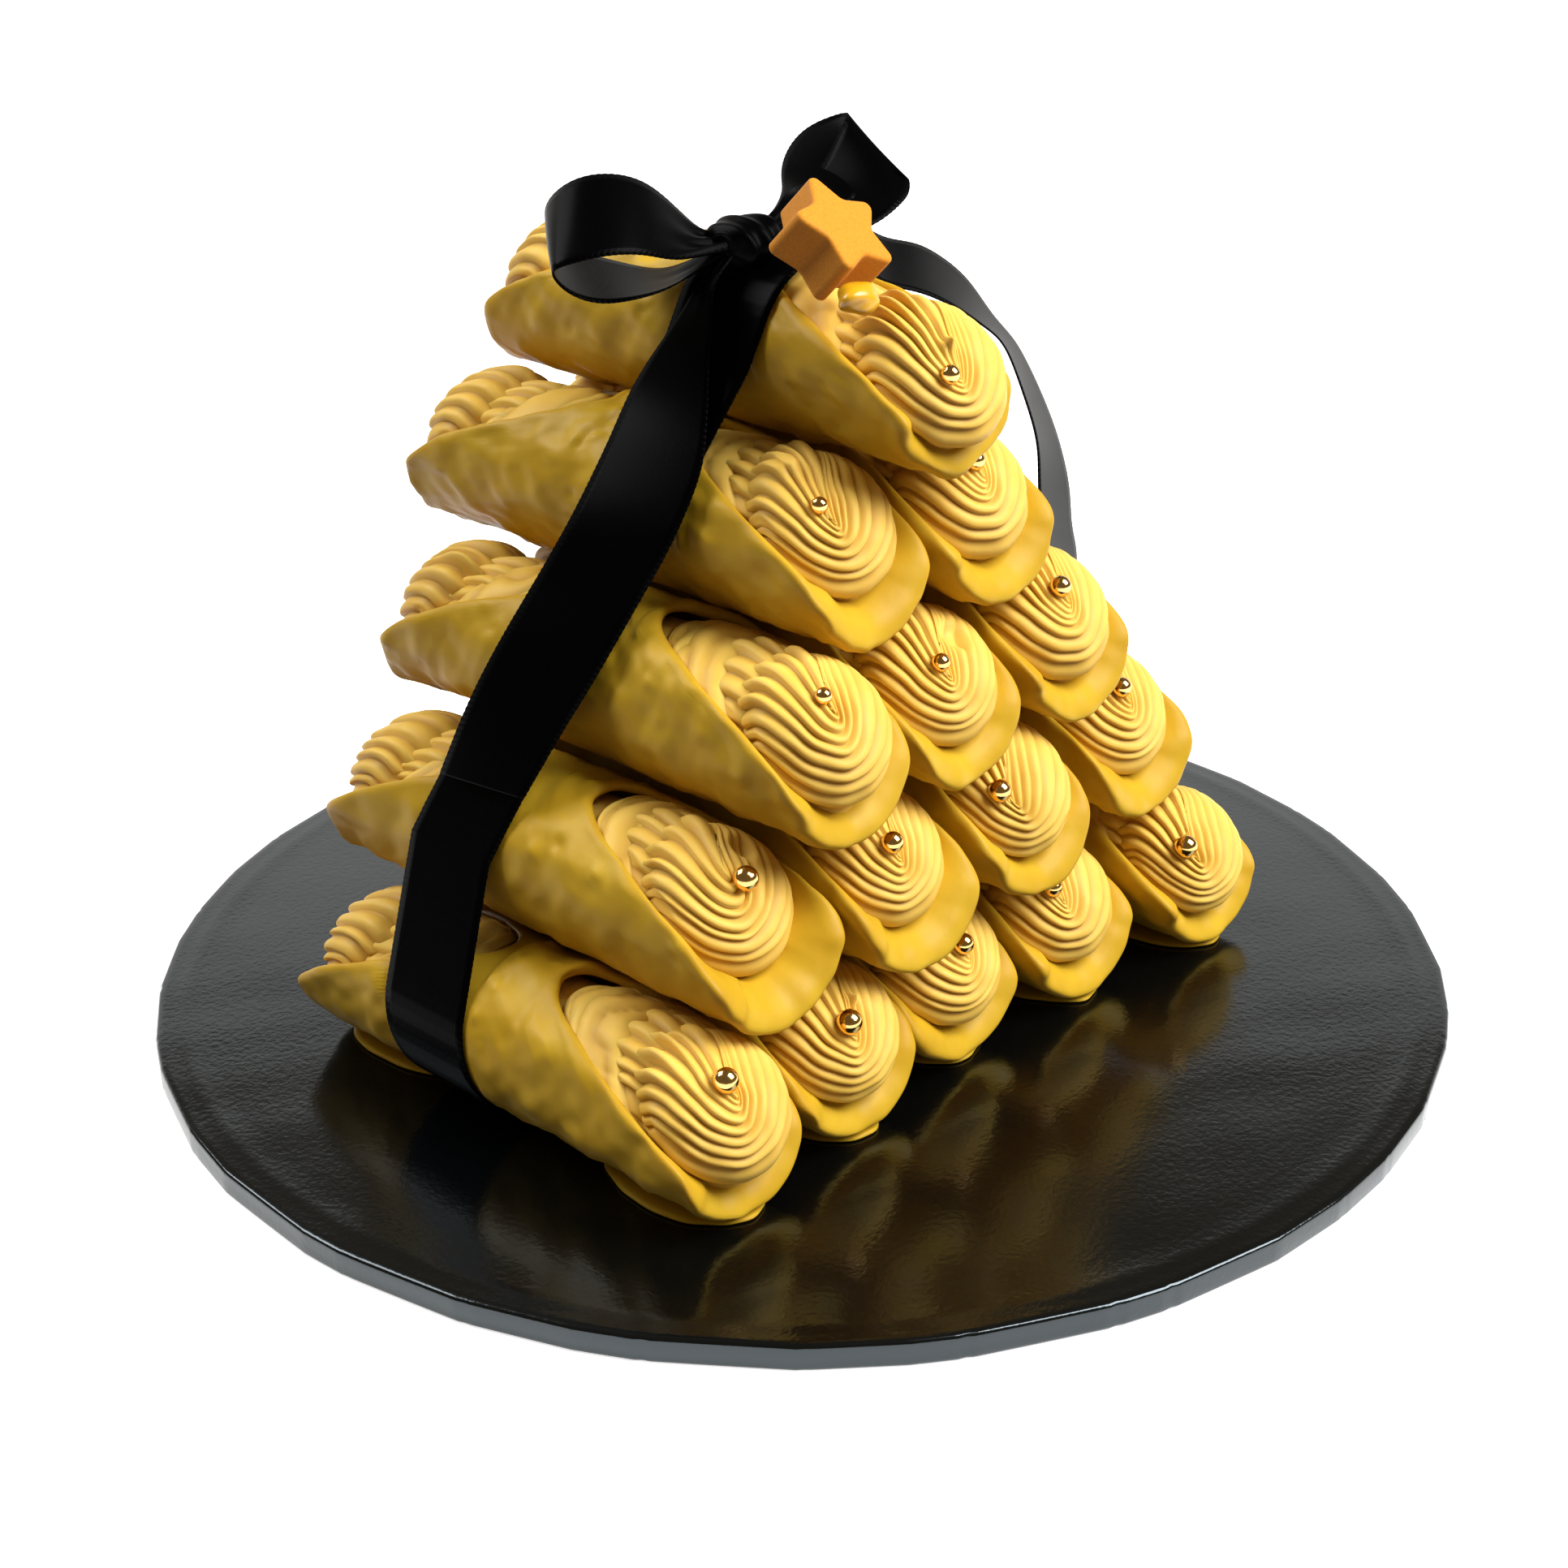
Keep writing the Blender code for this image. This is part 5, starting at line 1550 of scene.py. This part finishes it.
# %% Bow loops and tails
# Each strip's stations, node and hold, and then its pleats and its bow across, in millimetres
BOW_AND_TAILS = (
    ("bow_left_satin", LEFT_LOOP, "bow_loop_left", "gathered", 1.0, 0.3),
    ("bow_right_satin", RIGHT_LOOP, "bow_loop_right", "gathered", 1.0, 0.3),
    ("tail_left_satin", LEFT_TAIL, "ribbon_tail_left", "hung", 0.25, 0.2),
    ("tail_right_satin", RIGHT_TAIL, "ribbon_tail_right", "hung", 0.4, 0.2),
)
for name, stations, node, held, pleats, curl in BOW_AND_TAILS:
    piece, length = strip_piece(name, stations, pleats, held == "gathered", curl)
    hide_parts(node)
    print(name, "is cut", round(length, 4), "m long")

# %% [markdown]
# ## The band
#
# The band is pulled tight round the stack, so seen from the front it is the shortest line
# round fifteen ovals. A shrinkwrap would sink it between them. Their convex outline is exactly
# that line: straight from one oval to the next, and round each corner.

# %% Outline of the stack
# The band's middle lies off the ovals by this much, and they are grown a touch more so that
# the straight pieces between the points of an oval stay clear of it
BAND_OFFSET = 0.65 * MM
BAND_EASE = 1.003
BAND_STEP = 0.4 * MM
OVAL_POINTS = 48
LEAST_TURN = 1e-9


def outline_of_stack():
    """Corners of the convex outline of the fifteen ovals, each grown by the band's offset.

    Spots are sorted from left to right, and any spot that doesn't turn outward is dropped.
    """
    turn = np.linspace(0, 2 * math.pi, OVAL_POINTS, endpoint=False)
    spots = []
    for tube in TUBES.values():
        x = tube["x"] + (HALF_WIDTH + BAND_OFFSET) * BAND_EASE * np.sin(turn)
        z = tube["z"] + (tube["tall"] + BAND_OFFSET) * BAND_EASE * np.cos(turn)
        if tube["bottom"]:
            z = np.maximum(z, tube["z"] - tube["tall"] - BAND_OFFSET)
        spots += list(zip(x.tolist(), z.tolist()))
    spots.sort()
    corners = []
    for ordered in (spots, spots[::-1]):
        chain = []
        for spot in ordered:
            while len(chain) > 1:
                (ax, az), (bx, bz) = chain[-2], chain[-1]
                if (bx - ax) * (spot[1] - az) - (bz - az) * (spot[0] - ax) > LEAST_TURN:
                    break
                chain.pop()
            chain.append(spot)
        corners += chain[:-1]
    return np.array(corners + corners[:1])


outline = outline_of_stack()
hops = np.linalg.norm(np.diff(outline, axis=0), axis=1)
outline_along = np.concatenate([[0], np.cumsum(hops)])
band_length = float(outline_along[-1])
print("band:", round(band_length, 4), "m round the stack")

# %% Band round the stack
along = np.linspace(0, band_length, int(band_length / BAND_STEP), endpoint=False)
band_x = np.interp(along, outline_along, outline[:, 0])
band_z = np.interp(along, outline_along, outline[:, 1])
centre = np.stack([band_x, band_y(band_x, band_z), band_z], -1)
forward = np.roll(centre, -1, axis=0) - np.roll(centre, 1, axis=0)
normal = np.cross(forward, [0.0, 1.0, 0.0])
normal /= np.linalg.norm(normal, axis=1, keepdims=True)
across = np.zeros_like(centre) + [0.0, RIBBON_WIDTH, 0.0]
band = strip_mesh("band_satin", flat_strip(centre, across, along), normal, along, closed=True)
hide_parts("ribbon_band")
print("band:", len(band.data.polygons), "faces")

# %% [markdown]
# ## The knot
#
# The knot is the ribbon drawn tight round itself, so it is a small barrel with a few slanting
# pleats. Its turns are hidden, and a real knot of strips would only cut through itself, so a
# barrel with a cosine for the pleats is enough.

# %% Knot
# The knot is pulled down on to the band and closes over the ends of the loops and tails
KNOT_DOWN = np.array([1.2, 0.6, 2.4]) * MM
KNOT_UP = np.array([1.6, 0.6, 0.0]) * MM
KNOT_SPOKES, KNOT_RINGS, KNOT_END = 120, 64, 0.985
KNOT_PLEAT, KNOT_PLEATS, KNOT_SLANT = 0.07, 1.6, 0.18
KNOT_UNEVEN, KNOT_UNEVEN_LENGTH = 0.05, 1.4
KNOT_CLOTH_MM = 40.0
knot_low, knot_high = (np.array(corner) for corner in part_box("bow_knot"))
knot_low -= KNOT_DOWN
knot_high += KNOT_UP
turn = np.linspace(0, 2 * math.pi, KNOT_SPOKES, endpoint=False)[None, :]
run = np.linspace(-KNOT_END, KNOT_END, KNOT_RINGS)[:, None]
barrel = (1 - np.abs(run) ** 3) ** 0.45
slant = KNOT_PLEATS * run + KNOT_SLANT * np.sin(turn)
reach = barrel * (1 + KNOT_PLEAT * np.cos(2 * math.pi * slant + 0.5))
knot_unit = np.stack([run + 0.0 * turn, reach * np.cos(turn), reach * np.sin(turn)], axis=-1)
knot_unit *= 1 + KNOT_UNEVEN * waves(knot_unit, KNOT_UNEVEN_LENGTH, 41)[..., None]
knot_grid = (knot_low + knot_high) / 2 + knot_unit * (knot_high - knot_low) / 2
faces = ring_faces(knot_grid)
uv = np.stack(np.broadcast_arrays(
    RIBBON_WIDTH / MM * (run + 1) / 2, KNOT_CLOTH_MM * turn / math.pi), -1)
knot = mesh_piece("knot_satin", knot_grid, faces, [satin], uv=uv)
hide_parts("bow_knot")
print("knot:", len(faces), "faces")
